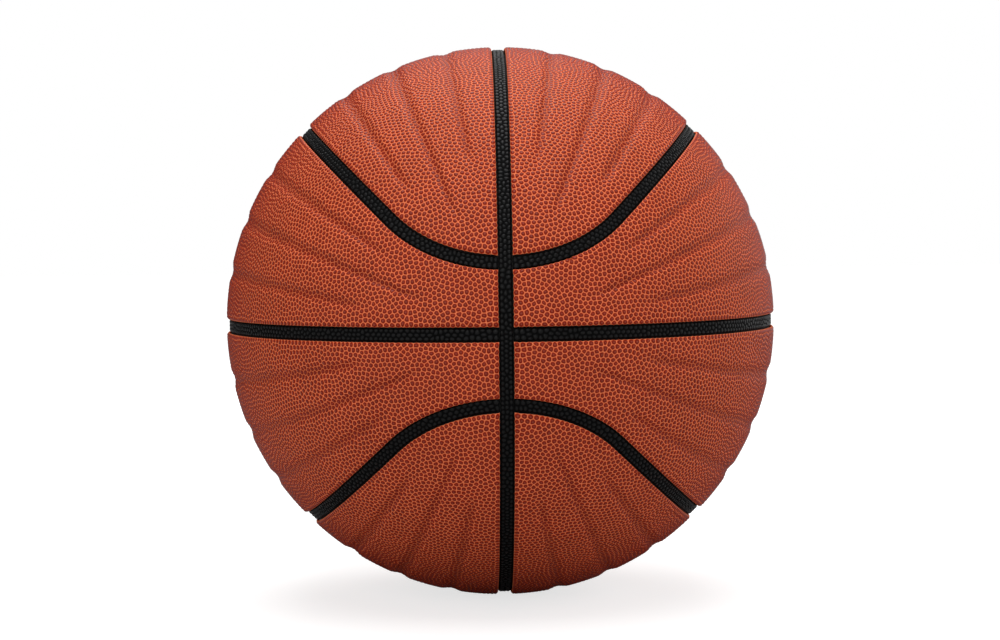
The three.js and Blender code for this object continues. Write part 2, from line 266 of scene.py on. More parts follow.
class SeamNet:
    """The seams between the panels, as lines on the ball to follow and to keep aside from.

    The level seam lies in z = 0 and the upright seam in x = 0. A cap seam runs midway between
    them and turns by a circular fillet to cross the upright seam square.
    """

    CAP_TURN = math.pi / 4
    LINE_STEP = 0.01
    FEWEST_STEPS = 4

    def __init__(self, sizes: BallSizes) -> None:
        """Works out the fillets of the cap seams.

        Args:
            sizes: The ball's sizes.
        """
        crossing = sizes.cap_seam_crossing / sizes.radius
        rise = math.cos(crossing) - math.cos(self.CAP_TURN)
        self.centre = math.atan2(math.sin(crossing), rise)
        self.fillet_radius = self.centre - crossing
        self.swing_end = math.acos(math.tan(self.fillet_radius) / math.tan(self.centre))
        self.run_start = math.atan(math.tan(self.centre) * math.sin(self.CAP_TURN))

    def level(self, run: Array, aside: Array | float) -> Array:
        """Points beside the level seam, on the side of +Z."""
        return offset(direction(run, 0.0), UP, aside)

    def upright(self, run: Array, aside: Array | float) -> Array:
        """Points beside the upright seam, on the side of +X."""
        return offset(direction(run, math.pi / 2), RIGHT, aside)

    def cap_run(self, run: Array, aside: Array | float) -> Array:
        """Points beside the straight run of a cap seam, on the side of the upright seam."""
        side = direction(math.pi / 2, self.CAP_TURN + math.pi / 2)
        return offset(direction(run, self.CAP_TURN), side, aside)

    def fillet(self, swing: Array, aside: Array | float) -> Array:
        """Finds points beside the fillet of a cap seam.

        Args:
            swing: Angle about the fillet's centre, from the upright seam.
            aside: Angle aside from the fillet, towards its centre.

        Returns:
            The directions of the points.
        """
        reach = self.fillet_radius - np.asarray(aside, float)
        swing, reach = np.broadcast_arrays(np.asarray(swing, float), reach)
        centre = direction(self.centre, math.pi / 2)
        towards_pole = direction(self.centre - math.pi / 2, math.pi / 2)
        return (
            centre * np.cos(reach)[..., None]
            + towards_pole * (np.sin(reach) * np.cos(swing))[..., None]
            + RIGHT * (np.sin(reach) * np.sin(swing))[..., None]
        )

    def swing_at(self, from_upright: float, aside: Array | float) -> Array:
        """The swing at which a line beside the fillet comes within an angle of the upright."""
        return np.arcsin(math.sin(from_upright) / np.sin(self.fillet_radius - np.asarray(aside)))

    def cap_length(self, end: float) -> tuple[float, float]:
        """Lengths of a fillet and of the straight run, with ends at an angle off the upright."""
        swing = self.swing_end - float(self.swing_at(end, 0.0))
        return math.sin(self.fillet_radius) * swing, math.pi - 2 * self.run_start

    def cap(self, along: Array, aside: Array, end: float) -> Array:
        """Finds points beside a whole cap seam.

        Args:
            along: Angle run along the seam from its front end.
            aside: Angle aside from it, towards the upright seam.
            end: How near the upright seam its two ends come, as an angle.

        Returns:
            The directions of the points.
        """
        bend, run = self.cap_length(end)
        total = 2 * bend + run
        folded = np.minimum(along, total - along)
        start = self.swing_at(end, aside)
        bent = self.fillet(start + (self.swing_end - start) * folded / bend, aside)
        straight = self.cap_run(self.run_start + along - bend, aside)
        bent[..., 1] *= np.where(along > total / 2, -1.0, 1.0)
        return np.where((folded < bend)[..., None], bent, straight)

    def line(self, place: Callable[[Array], Array], start: float, end: float) -> Array:
        """Points along a line from start to end, close enough to draw it smoothly."""
        count = max(self.FEWEST_STEPS, int(abs(end - start) / self.LINE_STEP))
        return place(np.linspace(start, end, count + 1))

    def cap_line(self, aside: float, end: float) -> Array:
        """Draws the line aside from a cap seam, from its front end to its back end.

        Args:
            aside: Angle aside from the seam, towards the upright seam.
            end: How near the upright seam its two ends come, as an angle.

        Returns:
            The directions of its points.
        """
        bend, run = self.cap_length(end)

        def place(along: Array) -> Array:
            """Points of the line at angles along the seam."""
            return self.cap(along, np.full_like(along, aside), end)

        return self.line(place, 0, 2 * bend + run)

    def band_sides(self, inset: float) -> list[Array]:
        """Draws the four sides of a band panel.

        Args:
            inset: The angle that it keeps from each seam.

        Returns:
            The sides, in order round the panel.
        """
        corner = math.asin(math.tan(inset))
        upper = self.cap_line(-inset, inset)
        end = math.atan2(upper[0, 2], -upper[0, 1])
        short = self.line(lambda run: self.upright(run, inset), end, corner)
        mirrored = short[::-1] * np.array((1.0, -1.0, 1.0))
        lower = self.line(lambda run: self.level(run, inset), corner, math.pi - corner)
        return [lower, mirrored, upper[::-1], short]

    def cap_sides(self, inset: float) -> list[Array]:
        """Draws the two sides of a cap panel.

        Args:
            inset: The angle that it keeps from each seam.

        Returns:
            The sides, in order round the panel.
        """
        lower = self.cap_line(inset, inset)
        end = math.atan2(lower[0, 2], -lower[0, 1])
        return [lower, self.line(lambda run: self.upright(run, inset), math.pi - end, end)]


@dataclass(frozen=True)
class PanelMap:
    """A flat map of the ball about one meridian that keeps angles, in millimetres."""

    radius: float
    middle: float

    def axes(self) -> tuple[Array, Array, Array]:
        """Directions of the front pole, the panel's middle and the side that y grows to."""
        aside = direction(math.pi / 2, self.middle + math.pi / 2)
        return direction(0.0, 0.0), direction(math.pi / 2, self.middle), aside

    def to_plane(self, places: Array) -> Array:
        """Maps directions to the plane.

        Args:
            places: The directions.

        Returns:
            The points of the plane.
        """
        front, middle, side = self.axes()
        along = np.arctan2(places @ middle, places @ front)
        return self.radius * np.stack((along, np.arctanh(places @ side)), axis=-1)

    def to_ball(self, points: Array) -> Array:
        """Maps points of the plane back to directions.

        Args:
            points: The points.

        Returns:
            The directions.
        """
        front, middle, side = self.axes()
        along, across = (points / self.radius).T
        foot = np.cos(along)[:, None] * front + np.sin(along)[:, None] * middle
        return offset(foot, side, np.arctan(np.sinh(across)))


@dataclass(frozen=True)
class RibbonMap:
    """A flat map of a strip: x runs along its seam and y aside from it, in millimetres."""

    radius: float
    beside: Beside

    def to_ball(self, points: Array) -> Array:
        """Maps points of the plane to directions."""
        along, aside = (points / self.radius).T
        return self.beside(along, aside)


class Side:
    """A smooth side of a flat sheet, with the sheet on its left."""

    SPACING = 0.25
    FEWEST_POINTS = 3

    def __init__(self, line: Array) -> None:
        """Spaces points evenly along a line and readies the search for the nearest one.

        Args:
            line: Points along the side.
        """
        steps = np.linalg.norm(np.diff(line, axis=0), axis=1)
        run = np.concatenate(((0.0,), np.cumsum(steps)))
        count = max(self.FEWEST_POINTS, int(run[-1] / self.SPACING))
        stations = np.linspace(0.0, run[-1], count)
        self.points = np.stack([np.interp(stations, run, values) for values in line.T], axis=-1)
        tangents = np.gradient(self.points, axis=0)
        self.tangents = tangents / np.linalg.norm(tangents, axis=1)[:, None]
        self.tree = KDTree(len(self.points))
        for index, (x, y) in enumerate(self.points):
            self.tree.insert((x, y, 0.0), index)
        self.tree.balance()

    def feet(self, points: Array) -> tuple[Array, Array, Array]:
        """Looks up the nearest place on the side.

        Args:
            points: Points of the plane.

        Returns:
            Their feet on the side, the unit vectors there that point into the sheet, and how
            far into the sheet each point lies.
        """
        nearest = np.array([self.tree.find((x, y, 0.0))[1] for x, y in points], int)
        tangent = self.tangents[nearest]
        away = points - self.points[nearest]
        feet = self.points[nearest] + tangent * np.sum(away * tangent, axis=1)[:, None]
        inward = np.stack((-tangent[:, 1], tangent[:, 0]), axis=-1)
        return feet, inward, np.sum((points - feet) * inward, axis=1)


@dataclass(frozen=True)
class Grain:
    """The grain of a sheet: how its cells are spaced and how far they rise."""

    pitch: float
    relief: float
    rim_inset: float
    edge_drop: float
    edge_roll: float
    scallop: float
    seed: int


@dataclass
class Cells:
    """The cells that share out a sheet, and the edges round each of them in order.

    An edge runs from the corner first to the corner second, with its cell on the left, and is
    followed by the edge following of that cell. It is open where the sheet ends.
    """

    centres: Array
    corners: Array
    inward: Array
    on_outline: Array
    cell: Array
    first: Array
    second: Array
    following: Array
    is_open: Array


class CellField:
    """Cells of about one size that fill a flat outline, evened out from a seeded scatter."""

    ROUNDS = 12
    STRIDE = 1.25
    JITTER = 0.55
    KEEP_OFF = 0.3
    MIRROR_REACH = 2.2
    WELD = 0.04
    WELD_ROUNDS = 4

    def __init__(self, sides: Sequence[Side], grain: Grain, period: float = 0.0) -> None:
        """Scatters the cells and evens them out.

        Args:
            sides: The sides of the sheet.
            grain: The pitch and the seed.
            period: Length after which the sheet meets its own start, or 0.
        """
        self.sides = sides
        self.pitch = grain.pitch
        self.period = period
        outline = np.concatenate([side.points for side in sides])
        self.low, self.high = outline.min(axis=0), outline.max(axis=0)
        self.centres = self._scatter(np.random.default_rng(grain.seed))
        for _ in range(self.ROUNDS):
            self.centres = self._evened(self.cells())

    def _wrap(self, points: Array) -> None:
        """Moves points beyond the period back into it."""
        if self.period:
            points[:, 0] = self.low[0] + (points[:, 0] - self.low[0]) % self.period

    def _scatter(self, random: np.random.Generator) -> Array:
        """Jitters a triangular lattice and keeps what lies inside every side.

        Args:
            random: Where the jitter is drawn from.

        Returns:
            The first centres.
        """
        low, pitch = self.low, self.pitch
        right = low[0] + self.period if self.period else self.high[0]
        rows = np.arange(low[1], self.high[1] + pitch, pitch * math.sqrt(3) / 2)
        x, y = np.meshgrid(np.arange(low[0], right, pitch), rows)
        x = x + (np.arange(len(rows)) % 2)[:, None] * pitch / 2
        points = np.stack((x.ravel(), y.ravel()), axis=-1)
        points += random.uniform(-self.JITTER, self.JITTER, points.shape) * pitch
        self._wrap(points)
        for side in self.sides:
            points = points[side.feet(points)[2] > self.KEEP_OFF * pitch]
        return points

    def _surrounded(self) -> tuple[Array, Array]:
        """Adds the centres' copies beyond the period and mirror images beyond each side.

        Returns:
            All the points, the centres first, and whether each is a mirror image.
        """
        reach = self.MIRROR_REACH * self.pitch
        inside = self.centres
        if self.period:
            run = self.centres[:, 0] - self.low[0]
            shift = np.array((self.period, 0.0))
            ahead = self.centres[run < reach] + shift
            behind = self.centres[self.period - run < reach] - shift
            inside = np.concatenate((inside, ahead, behind))
        points = [inside]
        for side in self.sides:
            feet, _, depth = side.feet(inside)
            near = depth < reach
            points.append(2 * feet[near] - inside[near])
        every = np.concatenate(points)
        return every, np.arange(len(every)) >= len(inside)

    def _snapped(self, corners: Array) -> tuple[Array, Array]:
        """Moves corners onto the nearest side.

        Args:
            corners: The corners.

        Returns:
            Their places, and the unit vectors there that point inward.
        """
        best = np.full(len(corners), np.inf)
        places, inwards = corners.copy(), np.zeros_like(corners)
        for side in self.sides:
            feet, inward, _ = side.feet(corners)
            gap = np.linalg.norm(feet - corners, axis=1)
            nearer = gap < best
            for kept, found in ((best, gap), (places, feet), (inwards, inward)):
                kept[nearer] = found[nearer]
        return places, inwards

    @staticmethod
    def _triangulated(points: Array) -> tuple[Array, Array]:
        """Joins points to triangles.

        Args:
            points: The points.

        Returns:
            The triangles, all turning left, and the middles of the circles through their
            points, which are the corners of the cells.
        """
        triangles = np.array(delaunay_2d_cdt(points.tolist(), [], [], 0, TINY)[2], int)
        a, b, c = (points[triangles[:, k]] for k in range(3))
        ab, ac = b - a, c - a
        doubled = ab[:, 0] * ac[:, 1] - ab[:, 1] * ac[:, 0]
        sound = np.abs(doubled) > TINY
        triangles, doubled, a, ab, ac = (part[sound] for part in (triangles, doubled, a, ab, ac))
        triangles[doubled < 0] = triangles[doubled < 0][:, (0, 2, 1)]
        ab_square, ac_square = np.sum(ab * ab, axis=1), np.sum(ac * ac, axis=1)
        x = ac[:, 1] * ab_square - ab[:, 1] * ac_square
        y = ab[:, 0] * ac_square - ac[:, 0] * ab_square
        return triangles, a + np.stack((x, y), axis=-1) / (2 * doubled)[:, None]

    def _spokes(self, points: Array, triangles: Array) -> tuple[Array, Array, Array]:
        """Sorts the triangles round each centre.

        Args:
            points: The centres and the points round them.
            triangles: The triangles between them.

        Returns:
            The cell, the triangle, and the point across the edge that starts there, cell by
            cell and in order round each.
        """
        cell = triangles.ravel()
        triangle = np.repeat(np.arange(len(triangles)), 3)
        neighbour = np.roll(triangles, 1, axis=1).ravel()
        real = cell < len(self.centres)
        cell, triangle, neighbour = cell[real], triangle[real], neighbour[real]
        spoke = points[triangles].mean(axis=1)[triangle] - self.centres[cell]
        order = np.lexsort((np.arctan2(spoke[:, 1], spoke[:, 0]), cell))
        return cell[order], triangle[order], neighbour[order]

    def _welded(self, corners: Array, first: Array, second: Array) -> Array:
        """Gives both ends of a very short edge one corner.

        Args:
            corners: The corners.
            first: The corner at which each edge starts.
            second: The corner at which it ends.

        Returns:
            The corner that now stands for each corner.
        """
        short = np.linalg.norm(corners[first] - corners[second], axis=1) < self.WELD
        first, second = first[short], second[short]
        label = np.arange(len(corners))
        for _ in range(self.WELD_ROUNDS):
            low = np.minimum(label[first], label[second])
            np.minimum.at(label, first, low)
            np.minimum.at(label, second, low)
        return label

    @staticmethod
    def _following(cell: Array) -> Array:
        """Finds the next edge round the same cell.

        Args:
            cell: The cell of each edge, sorted.

        Returns:
            The index of the edge that follows each edge.
        """
        following = np.arange(1, len(cell) + 1)
        starts = np.flatnonzero(np.concatenate(((True,), cell[1:] != cell[:-1])))
        following[np.concatenate((starts[1:], (len(cell),))) - 1] = starts
        return following

    def cells(self) -> Cells:
        """Works out the cells round the centres.

        Returns:
            The cells, with those along the outline ending on it.
        """
        points, mirrored = self._surrounded()
        triangles, corners = self._triangulated(points)
        held = np.any(triangles < len(self.centres), axis=1)
        on_outline = np.any(mirrored[triangles], axis=1) & held
        inward = np.zeros_like(corners)
        corners[on_outline], inward[on_outline] = self._snapped(corners[on_outline])

        cell, first, neighbour = self._spokes(points, triangles)
        second = first[self._following(cell)]
        label = self._welded(corners, first, second)
        first, second = label[first], label[second]
        kept = first != second
        ends = np.concatenate((first[kept], second[kept]))
        used, inverse = np.unique(ends, return_inverse=True)
        first, second = np.split(inverse.reshape(-1), 2)
        return Cells(
            centres=self.centres,
            corners=corners[used],
            inward=inward[used],
            on_outline=on_outline[used],
            cell=cell[kept],
            first=first,
            second=second,
            following=self._following(cell[kept]),
            is_open=mirrored[neighbour[kept]],
        )

    def _evened(self, cells: Cells) -> Array:
        """Moves each centre to the middle of its cell and a little past it.

        Args:
            cells: The cells round the centres.

        Returns:
            The next centres.
        """
        count = len(cells.centres)
        centre = cells.centres[cells.cell]
        start = cells.corners[cells.first] - centre
        end = cells.corners[cells.second] - centre
        area = start[:, 0] * end[:, 1] - start[:, 1] * end[:, 0]
        total = np.bincount(cells.cell, area, count)
        pull = [np.bincount(cells.cell, area * way / 3, count) for way in (start + end).T]
        moved = cells.centres + self.STRIDE * np.stack([part / total for part in pull], axis=-1)
        self._wrap(moved)
        return moved


@dataclass
class FaceSet:
    """Faces of one kind: their vertices in order, each one's cell and each face's length."""

    vertices: Array
    cell: Array
    lengths: Array
    outside: bool


@dataclass
class SheetMesh:
    """A sheet's mesh, in millimetres, with its flat layout and its points' marks."""

    places: Array
    faces: Sequence[FaceSet]
    layout: Array
    marks: dict[Mark, Array]

    def to_mesh(self, name: str, quarter: Quarter) -> bpy.types.Mesh:
        """Makes the mesh of one quarter's sheet.

        Args:
            name: The mesh's name.
            quarter: The quarter that it is turned to.

        Returns:
            The mesh, in metres, with smooth faces.
        """
        loops = np.concatenate([faces.vertices for faces in self.faces])
        lengths = np.concatenate([faces.lengths for faces in self.faces])
        starts = np.concatenate(((0,), np.cumsum(lengths)[:-1]))
        mesh = bpy.data.meshes.new(name)
        mesh.vertices.add(len(self.places))
        turned = self.places * np.array(quarter.value) * MILLIMETRE
        mesh.vertices.foreach_set("co", turned.astype(np.float32).ravel())
        mesh.loops.add(len(loops))
        mesh.loops.foreach_set("vertex_index", loops.astype(np.int32))
        mesh.polygons.add(len(starts))
        mesh.polygons.foreach_set("loop_start", starts.astype(np.int32))
        mesh.update(calc_edges=True)
        layout = mesh.uv_layers.new(name=BAKE_MAP)
        layout.uv.foreach_set("vector", self.layout.astype(np.float32).ravel())
        for mark, values in self.marks.items():
            attribute = mesh.attributes.new(mark.value, "FLOAT", "POINT")
            attribute.data.foreach_set("value", values.astype(np.float32))
        mesh.shade_smooth()
        return mesh


@dataclass
class LaidSheet:
    """A sheet laid on the ball, with a domed cell for each pebble, a wall and an underside.

    Its points come in this order: the cells' corners, the rims of the domes, the domes' tops,
    the middles of the edges along the outline, and the corners again on the underside.
    """

    RIM_RISE = 0.68
    RIM_LEAST = 0.35
    RIM_MOST = 1.05
    OUTLINE_SHARE = 0.4
    DEEPEST_SHARE = 0.9
    CORNER_MARK, RIM_MARK, TOP_MARK, MID_MARK, UNDER_MARK = 0.0, 0.8, 1.0, 0.3, 0.45
    EVEN_TONE = 0.5
    UNDER_SCALE = 0.22
    WALL_LAYOUT = 1.2
    MARGIN = 0.012
    OVERHANG = 2
    COPY_GAPS = 4

    cells: Cells
    sides: Sequence[Side]
    grain: Grain
    to_ball: Callable[[Array], Array]
    depth: Callable[[Array], Array]
    top: float
    under: float
    layout_rows: int

    @property
    def open_edges(self) -> Array:
        """The edges along the outline."""
        return np.flatnonzero(self.cells.is_open)

    @property
    def counts(self) -> tuple[int, ...]:
        """How many points of each kind there are, in order."""
        cells, corners = self.cells, len(self.cells.corners)
        return corners, len(cells.cell), len(cells.centres), len(self.open_edges), corners

    def _edge_depth(self, into: Array) -> Array:
        """How far the rounded edge has dropped at a distance into the sheet."""
        away = np.clip(1.0 - into / self.grain.edge_roll, 0.0, 1.0)
        return self.grain.edge_drop * (1.0 - np.sqrt(1.0 - away * away))

    def _into(self, points: Array) -> Array:
        """How far points lie into the sheet from its nearest side."""
        return np.min([side.feet(points)[2] for side in self.sides], axis=0)

    def _middles(self) -> Array:
        """The middle of each edge."""
        return (self.cells.corners[self.cells.first] + self.cells.corners[self.cells.second]) / 2

    def _corners(self) -> Array:
        """Draws the cells' corners in a little where two cells meet on the outline.

        Returns:
            Their places in the plane.
        """
        cells = self.cells
        shared = np.bincount(cells.first, minlength=len(cells.corners)) > 1
        notched = cells.on_outline & shared
        return cells.corners + cells.inward * (notched * self.grain.scallop)[:, None]

    def _rims(self) -> Array:
        """Finds the point on each dome's rim that faces each edge.

        Returns:
            Their places in the plane.
        """
        cells, inset = self.cells, self.grain.rim_inset
        centre = cells.centres[cells.cell]
        spoke = self._middles() - centre
        reach = np.linalg.norm(spoke, axis=1)
        count = len(cells.centres)
        typical = np.bincount(cells.cell, reach, count) / np.bincount(cells.cell, minlength=count)
        most = self.RIM_MOST * (typical[cells.cell] - inset)
        radius = np.clip(reach - inset, self.RIM_LEAST * reach, most)
        return centre + spoke * (radius / reach)[:, None]

    def _outside(self, flat: Array) -> tuple[Array, Array]:
        """Lays the points of the outside on the ball.

        Args:
            flat: Their places in the plane.

        Returns:
            Their places on the ball, and how deep the folds lie there.
        """
        relief, ends = self.grain.relief, np.zeros(len(self.open_edges))
        web = np.where(self.cells.on_outline, self.OUTLINE_SHARE, 1.0) * relief
        rim = np.full(len(self.cells.cell), (1 - self.RIM_RISE) * relief)
        sunk = np.concatenate((web, rim, np.zeros(len(self.cells.centres)), ends))
        into = np.concatenate((self._into(flat[: -len(ends)]), ends))
        places = self.to_ball(flat)
        fold = self.depth(places)
        depth = sunk + self._edge_depth(into) + fold
        deepest = self.DEEPEST_SHARE * (self.top - self.under)
        return places * (self.top - np.minimum(depth, deepest))[:, None], fold

    def _faces(self) -> list[FaceSet]:
        """Joins the points to faces.

        Returns:
            The triangles of the outside, the walls, and the underside with a face for each cell.
        """
        cells, edges, every = self.cells, self.open_edges, np.arange(len(self.cells.cell))
        closed = np.flatnonzero(~cells.is_open)
        first_rim, first_top, first_mid, below = np.cumsum(self.counts)[:-1]
        rim, top = first_rim + every, first_top + cells.cell
        mid, after = first_mid + np.arange(len(edges)), rim[cells.following]
        first, second = cells.first, cells.second
        kinds = (
            (closed, first[closed], second[closed], rim[closed]),
            (edges, first[edges], mid, rim[edges]),
            (edges, mid, second[edges], rim[edges]),
            (every, rim, second, after),
            (every, top, rim, after),
        )
        triangles = np.concatenate([np.stack(corners, axis=-1) for _, *corners in kinds])
        triangle_cells = np.concatenate([cells.cell[owners] for owners, *_ in kinds])
        start, end = first[edges], second[edges]
        walls = np.stack((end, mid, start, below + start, below + end), axis=-1)
        sets = []
        for faces, owners, outside in (
            (triangles, triangle_cells, True),
            (walls, cells.cell[edges], False),
        ):
            count, length = faces.shape
            lengths = np.full(count, length)
            sets.append(FaceSet(faces.ravel(), np.repeat(owners, length), lengths, outside))
        lengths = np.unique(cells.cell, return_counts=True)[1][::-1]
        return [*sets, FaceSet((below + first)[::-1], cells.cell[::-1], lengths, False)]

    def _layout(self, sets: Sequence[FaceSet], points: Array, out: Array) -> Array:
        """Lays the faces out flat, in rows, with the underside and the walls in a smaller copy.

        Args:
            sets: The faces.
            points: The place of each vertex in the plane.
            out: How far the layout of each vertex is moved, for the walls.

        Returns:
            A place in the unit square for each corner of each face.
        """
        low, high = points.min(axis=0), points.max(axis=0)
        row_length = (high[0] - low[0]) / self.layout_rows
        height = high[1] - low[1]
        overhang = self.OVERHANG * self.grain.pitch
        gap = self.MARGIN * (row_length + 2 * overhang)
        rows_height = self.layout_rows * (height + gap)
        copy_height = rows_height * self.UNDER_SCALE + self.COPY_GAPS * gap
        copy_start = np.array((overhang, rows_height + self.COPY_GAPS / 2 * gap))
        scale = 1 / max(row_length + 2 * overhang, rows_height + copy_height)
        placed = []
        for faces in sets:
            row = ((self.cells.centres[faces.cell, 0] - low[0]) / row_length).astype(int)
            row = np.clip(row, 0, self.layout_rows - 1)
            x = points[faces.vertices, 0] - low[0] - row * row_length + overhang
            y = points[faces.vertices, 1] - low[1] + row * (height + gap)
            place = np.stack((x, y), axis=-1)
            if not faces.outside:
                place = (place + out[faces.vertices]) * self.UNDER_SCALE + copy_start
            placed.append(place * scale)
        return np.concatenate(placed)

    def build(self) -> SheetMesh:
        """Builds the sheet.

        Returns:
            Its closed mesh.
        """
        cells, edges = self.cells, self.open_edges
        corner_count, cell_count = len(cells.corners), len(cells.centres)
        corners = self._corners()
        flat = np.concatenate((corners, self._rims(), cells.centres, self._middles()[edges]))
        outer, fold = self._outside(flat)
        aside = -cells.inward * self.WALL_LAYOUT
        out = np.zeros((sum(self.counts), 2))
        out[:corner_count] = aside
        out[len(flat) - len(edges) : len(flat)] = aside[cells.first[edges]]
        tone = np.random.default_rng(self.grain.seed + 1).uniform(0.0, 1.0, cell_count)
        even = np.full(corner_count, self.EVEN_TONE)
        tones = (even, tone[cells.cell], tone, tone[cells.cell[edges]], even)
        marks = (self.CORNER_MARK, self.RIM_MARK, self.TOP_MARK, self.MID_MARK, self.UNDER_MARK)
        faces = self._faces()
        return SheetMesh(
            places=np.concatenate((outer, self.to_ball(corners) * self.under)),
            faces=faces,
            layout=self._layout(faces, np.concatenate((flat, corners)), out),
            marks={
                Mark.PEBBLE: np.repeat(marks, self.counts),
                Mark.TONE: np.concatenate(tones),
                Mark.FOLD: np.concatenate((fold, np.zeros(corner_count))),
            },
        )


class NodeBench:
    """Places and links the nodes of one tree."""

    MIX_A, MIX_B, MIX_RESULT = 6, 7, 2

    def __init__(self, tree: bpy.types.NodeTree) -> None:
        """Takes the tree to work in."""
        self.tree = tree

    def add(
        self, kind: str, feeds: dict[str | int, Feed] | None = None, **settings: object
    ) -> bpy.types.Node:
        """Adds a node.

        Args:
            kind: Its type.
            feeds: What goes into its inputs, by their names or numbers.
            settings: Its properties.

        Returns:
            The node.
        """
        node = self.tree.nodes.new(kind)
        for name, value in settings.items():
            setattr(node, name, value)
        self.feed(node, feeds or {})
        return node

    def feed(self, node: bpy.types.Node, feeds: dict[str | int, Feed]) -> None:
        """Links a node's inputs to outputs, or sets them to numbers and colours.

        Args:
            node: The node.
            feeds: What goes into its inputs, by their names or numbers.
        """
        for key, value in feeds.items():
            if isinstance(value, Socket):
                self.tree.links.new(value, node.inputs[key])
            else:
                node.inputs[key].default_value = value

    def place(self) -> Socket:
        """The place on the object, in its own frame."""
        return self.add("ShaderNodeTexCoord").outputs["Object"]

    def mark(self, mark: Mark) -> Socket:
        """A value that the mesh carries at each point."""
        return self.add("ShaderNodeAttribute", attribute_name=mark.value).outputs["Fac"]

    def math(self, operation: str, *values: Feed) -> Socket:
        """The result of a Math node."""
        return self.add("ShaderNodeMath", dict(enumerate(values)), operation=operation).outputs[0]

    def swing(self, value: Socket, spread: Feed, middle: Feed) -> Socket:
        """A value between 0 and 1, spread evenly to both sides of a middle."""
        return self.math("MULTIPLY_ADD", self.math("SUBTRACT", value, 0.5), spread, middle)

    def ease(
        self, value: Socket, ramp: tuple[Feed, Feed], start: Feed = 0.0, end: Feed = 1.0
    ) -> Socket:
        """Maps a value smoothly from one range onto another.

        Args:
            value: The value.
            ramp: Where its range starts and ends.
            start: The result at the range's start.
            end: The result at its end.

        Returns:
            The result.
        """
        names = ("Value", "From Min", "From Max", "To Min", "To Max")
        feeds = dict(zip(names, (value, *ramp, start, end)))
        node = self.add("ShaderNodeMapRange", feeds, interpolation_type="SMOOTHSTEP")
        return node.outputs["Result"]

    def blend(self, share: Socket, a: Feed, b: Feed) -> Socket:
        """The mix of two colours."""
        feeds = {"Factor": share, self.MIX_A: a, self.MIX_B: b}
        return self.add("ShaderNodeMix", feeds, data_type="RGBA").outputs[self.MIX_RESULT]

    def noise(self, place: Socket, scale: Feed, detail: float) -> Socket:
        """The value of a noise texture."""
        feeds = {"Vector": place, "Scale": scale, "Detail": detail}
        return self.add("ShaderNodeTexNoise", feeds).outputs["Fac"]

    def brighten(self, colour: Socket, value: Socket) -> Socket:
        """A colour with its brightness scaled."""
        return self.add("ShaderNodeHueSaturation", {"Color": colour, "Value": value}).outputs[0]


class EffectGroup:
    """A shader node group that finishes place with their own values."""

    NAME = ""
    COLOURS: tuple[str, ...] = ()
    VALUES: tuple[str, ...] = ()
    MASKS: tuple[str, ...] = ("Roughness", "Height")

    @classmethod
    def tree(cls) -> bpy.types.NodeTree:
        """Makes the group, which is built once.

        Returns:
            The group.
        """
        found = bpy.data.node_groups.get(cls.NAME)
        if found is not None:
            return found
        tree = bpy.data.node_groups.new(cls.NAME, "ShaderNodeTree")
        for way, kind, names in (
            ("INPUT", "NodeSocketColor", cls.COLOURS),
            ("INPUT", "NodeSocketFloat", cls.VALUES),
            ("OUTPUT", "NodeSocketColor", ("Color",)),
            ("OUTPUT", "NodeSocketFloat", cls.MASKS),
        ):
            for name in names:
                tree.interface.new_socket(name=name, in_out=way, socket_type=kind)
        bench = NodeBench(tree)
        given = bench.add("NodeGroupInput").outputs
        bench.add("NodeGroupOutput", cls.wire(bench, given))
        return tree

    @classmethod
    def wire(cls, bench: NodeBench, given: Sockets) -> dict[str, Socket]:
        """Links the group's nodes and returns its outputs by name."""
        raise NotImplementedError


class PebbleGroup(EffectGroup):
    """Leather coloured by its pebbles: dark glossy tops, each crown lightened by a painted
    highlight, paler flanks, bright webs between, and painted shade in the creases.
    """

    NAME = "pebble_grain"
    COLOURS = ("Crown", "Top", "Flank", "Web")
    VALUES = (
        "Tone Spread",
        "Mottle",
        "Crease Shade",
        "Top Roughness",
        "Web Roughness",
        "Gloss",
        "Gloss Start",
    )
    MASKS = ("Roughness", "Height", "Coat")
    FLANK_RAMP = (0.08, 0.52)
    TOP_RAMP = (0.46, 0.84)
    CROWN_RAMP = (0.82, 0.96)
    CREASE_RAMP = (0.2, 1.0)
    ROUGH_RAMP = (0.1, 0.8)
    GLOSS_END = 0.97
    CLOUD_SCALE, CLOUD_DETAIL = 55.0, 3.0
    FINE_SCALE, FINE_DETAIL, FINE_ROUGHNESS = 3200.0, 2.0, 0.2

    @classmethod
    def wire(cls, bench: NodeBench, given: Sockets) -> dict[str, Socket]:
        """Links the group's nodes.

        Args:
            bench: The group's bench.
            given: The group's inputs.

        Returns:
            The group's outputs by name.
        """
        pebble, place = bench.mark(Mark.PEBBLE), bench.place()
        colour = bench.blend(bench.ease(pebble, cls.FLANK_RAMP), given["Web"], given["Flank"])
        colour = bench.blend(bench.ease(pebble, cls.TOP_RAMP), colour, given["Top"])
        # Painted highlight: each pebble's crown turns to a lighter colour; the coat gloss given to
        # the crowns below is real.
        colour = bench.blend(bench.ease(pebble, cls.CROWN_RAMP), colour, given["Crown"])
        # Painted shade: the colour darkens towards the top colour as deep as the folds lie,
        # standing in for the shade in the creases.
        crease = bench.ease(bench.mark(Mark.FOLD), cls.CREASE_RAMP, end=given["Crease Shade"])
        colour = bench.blend(crease, colour, given["Top"])
        cloud = bench.noise(place, cls.CLOUD_SCALE, cls.CLOUD_DETAIL)
        value = bench.swing(cloud, given["Mottle"], 1.0)
        value = bench.swing(bench.mark(Mark.TONE), given["Tone Spread"], value)
        fine = bench.noise(place, cls.FINE_SCALE, cls.FINE_DETAIL)
        roughness = given["Web Roughness"], given["Top Roughness"]
        rough = bench.ease(pebble, cls.ROUGH_RAMP, *roughness)
        gloss_ramp = given["Gloss Start"], cls.GLOSS_END
        return {
            "Color": bench.brighten(colour, value),
            "Roughness": bench.swing(fine, cls.FINE_ROUGHNESS, rough),
            "Height": fine,
            "Coat": bench.ease(pebble, gloss_ramp, end=given["Gloss"]),
        }


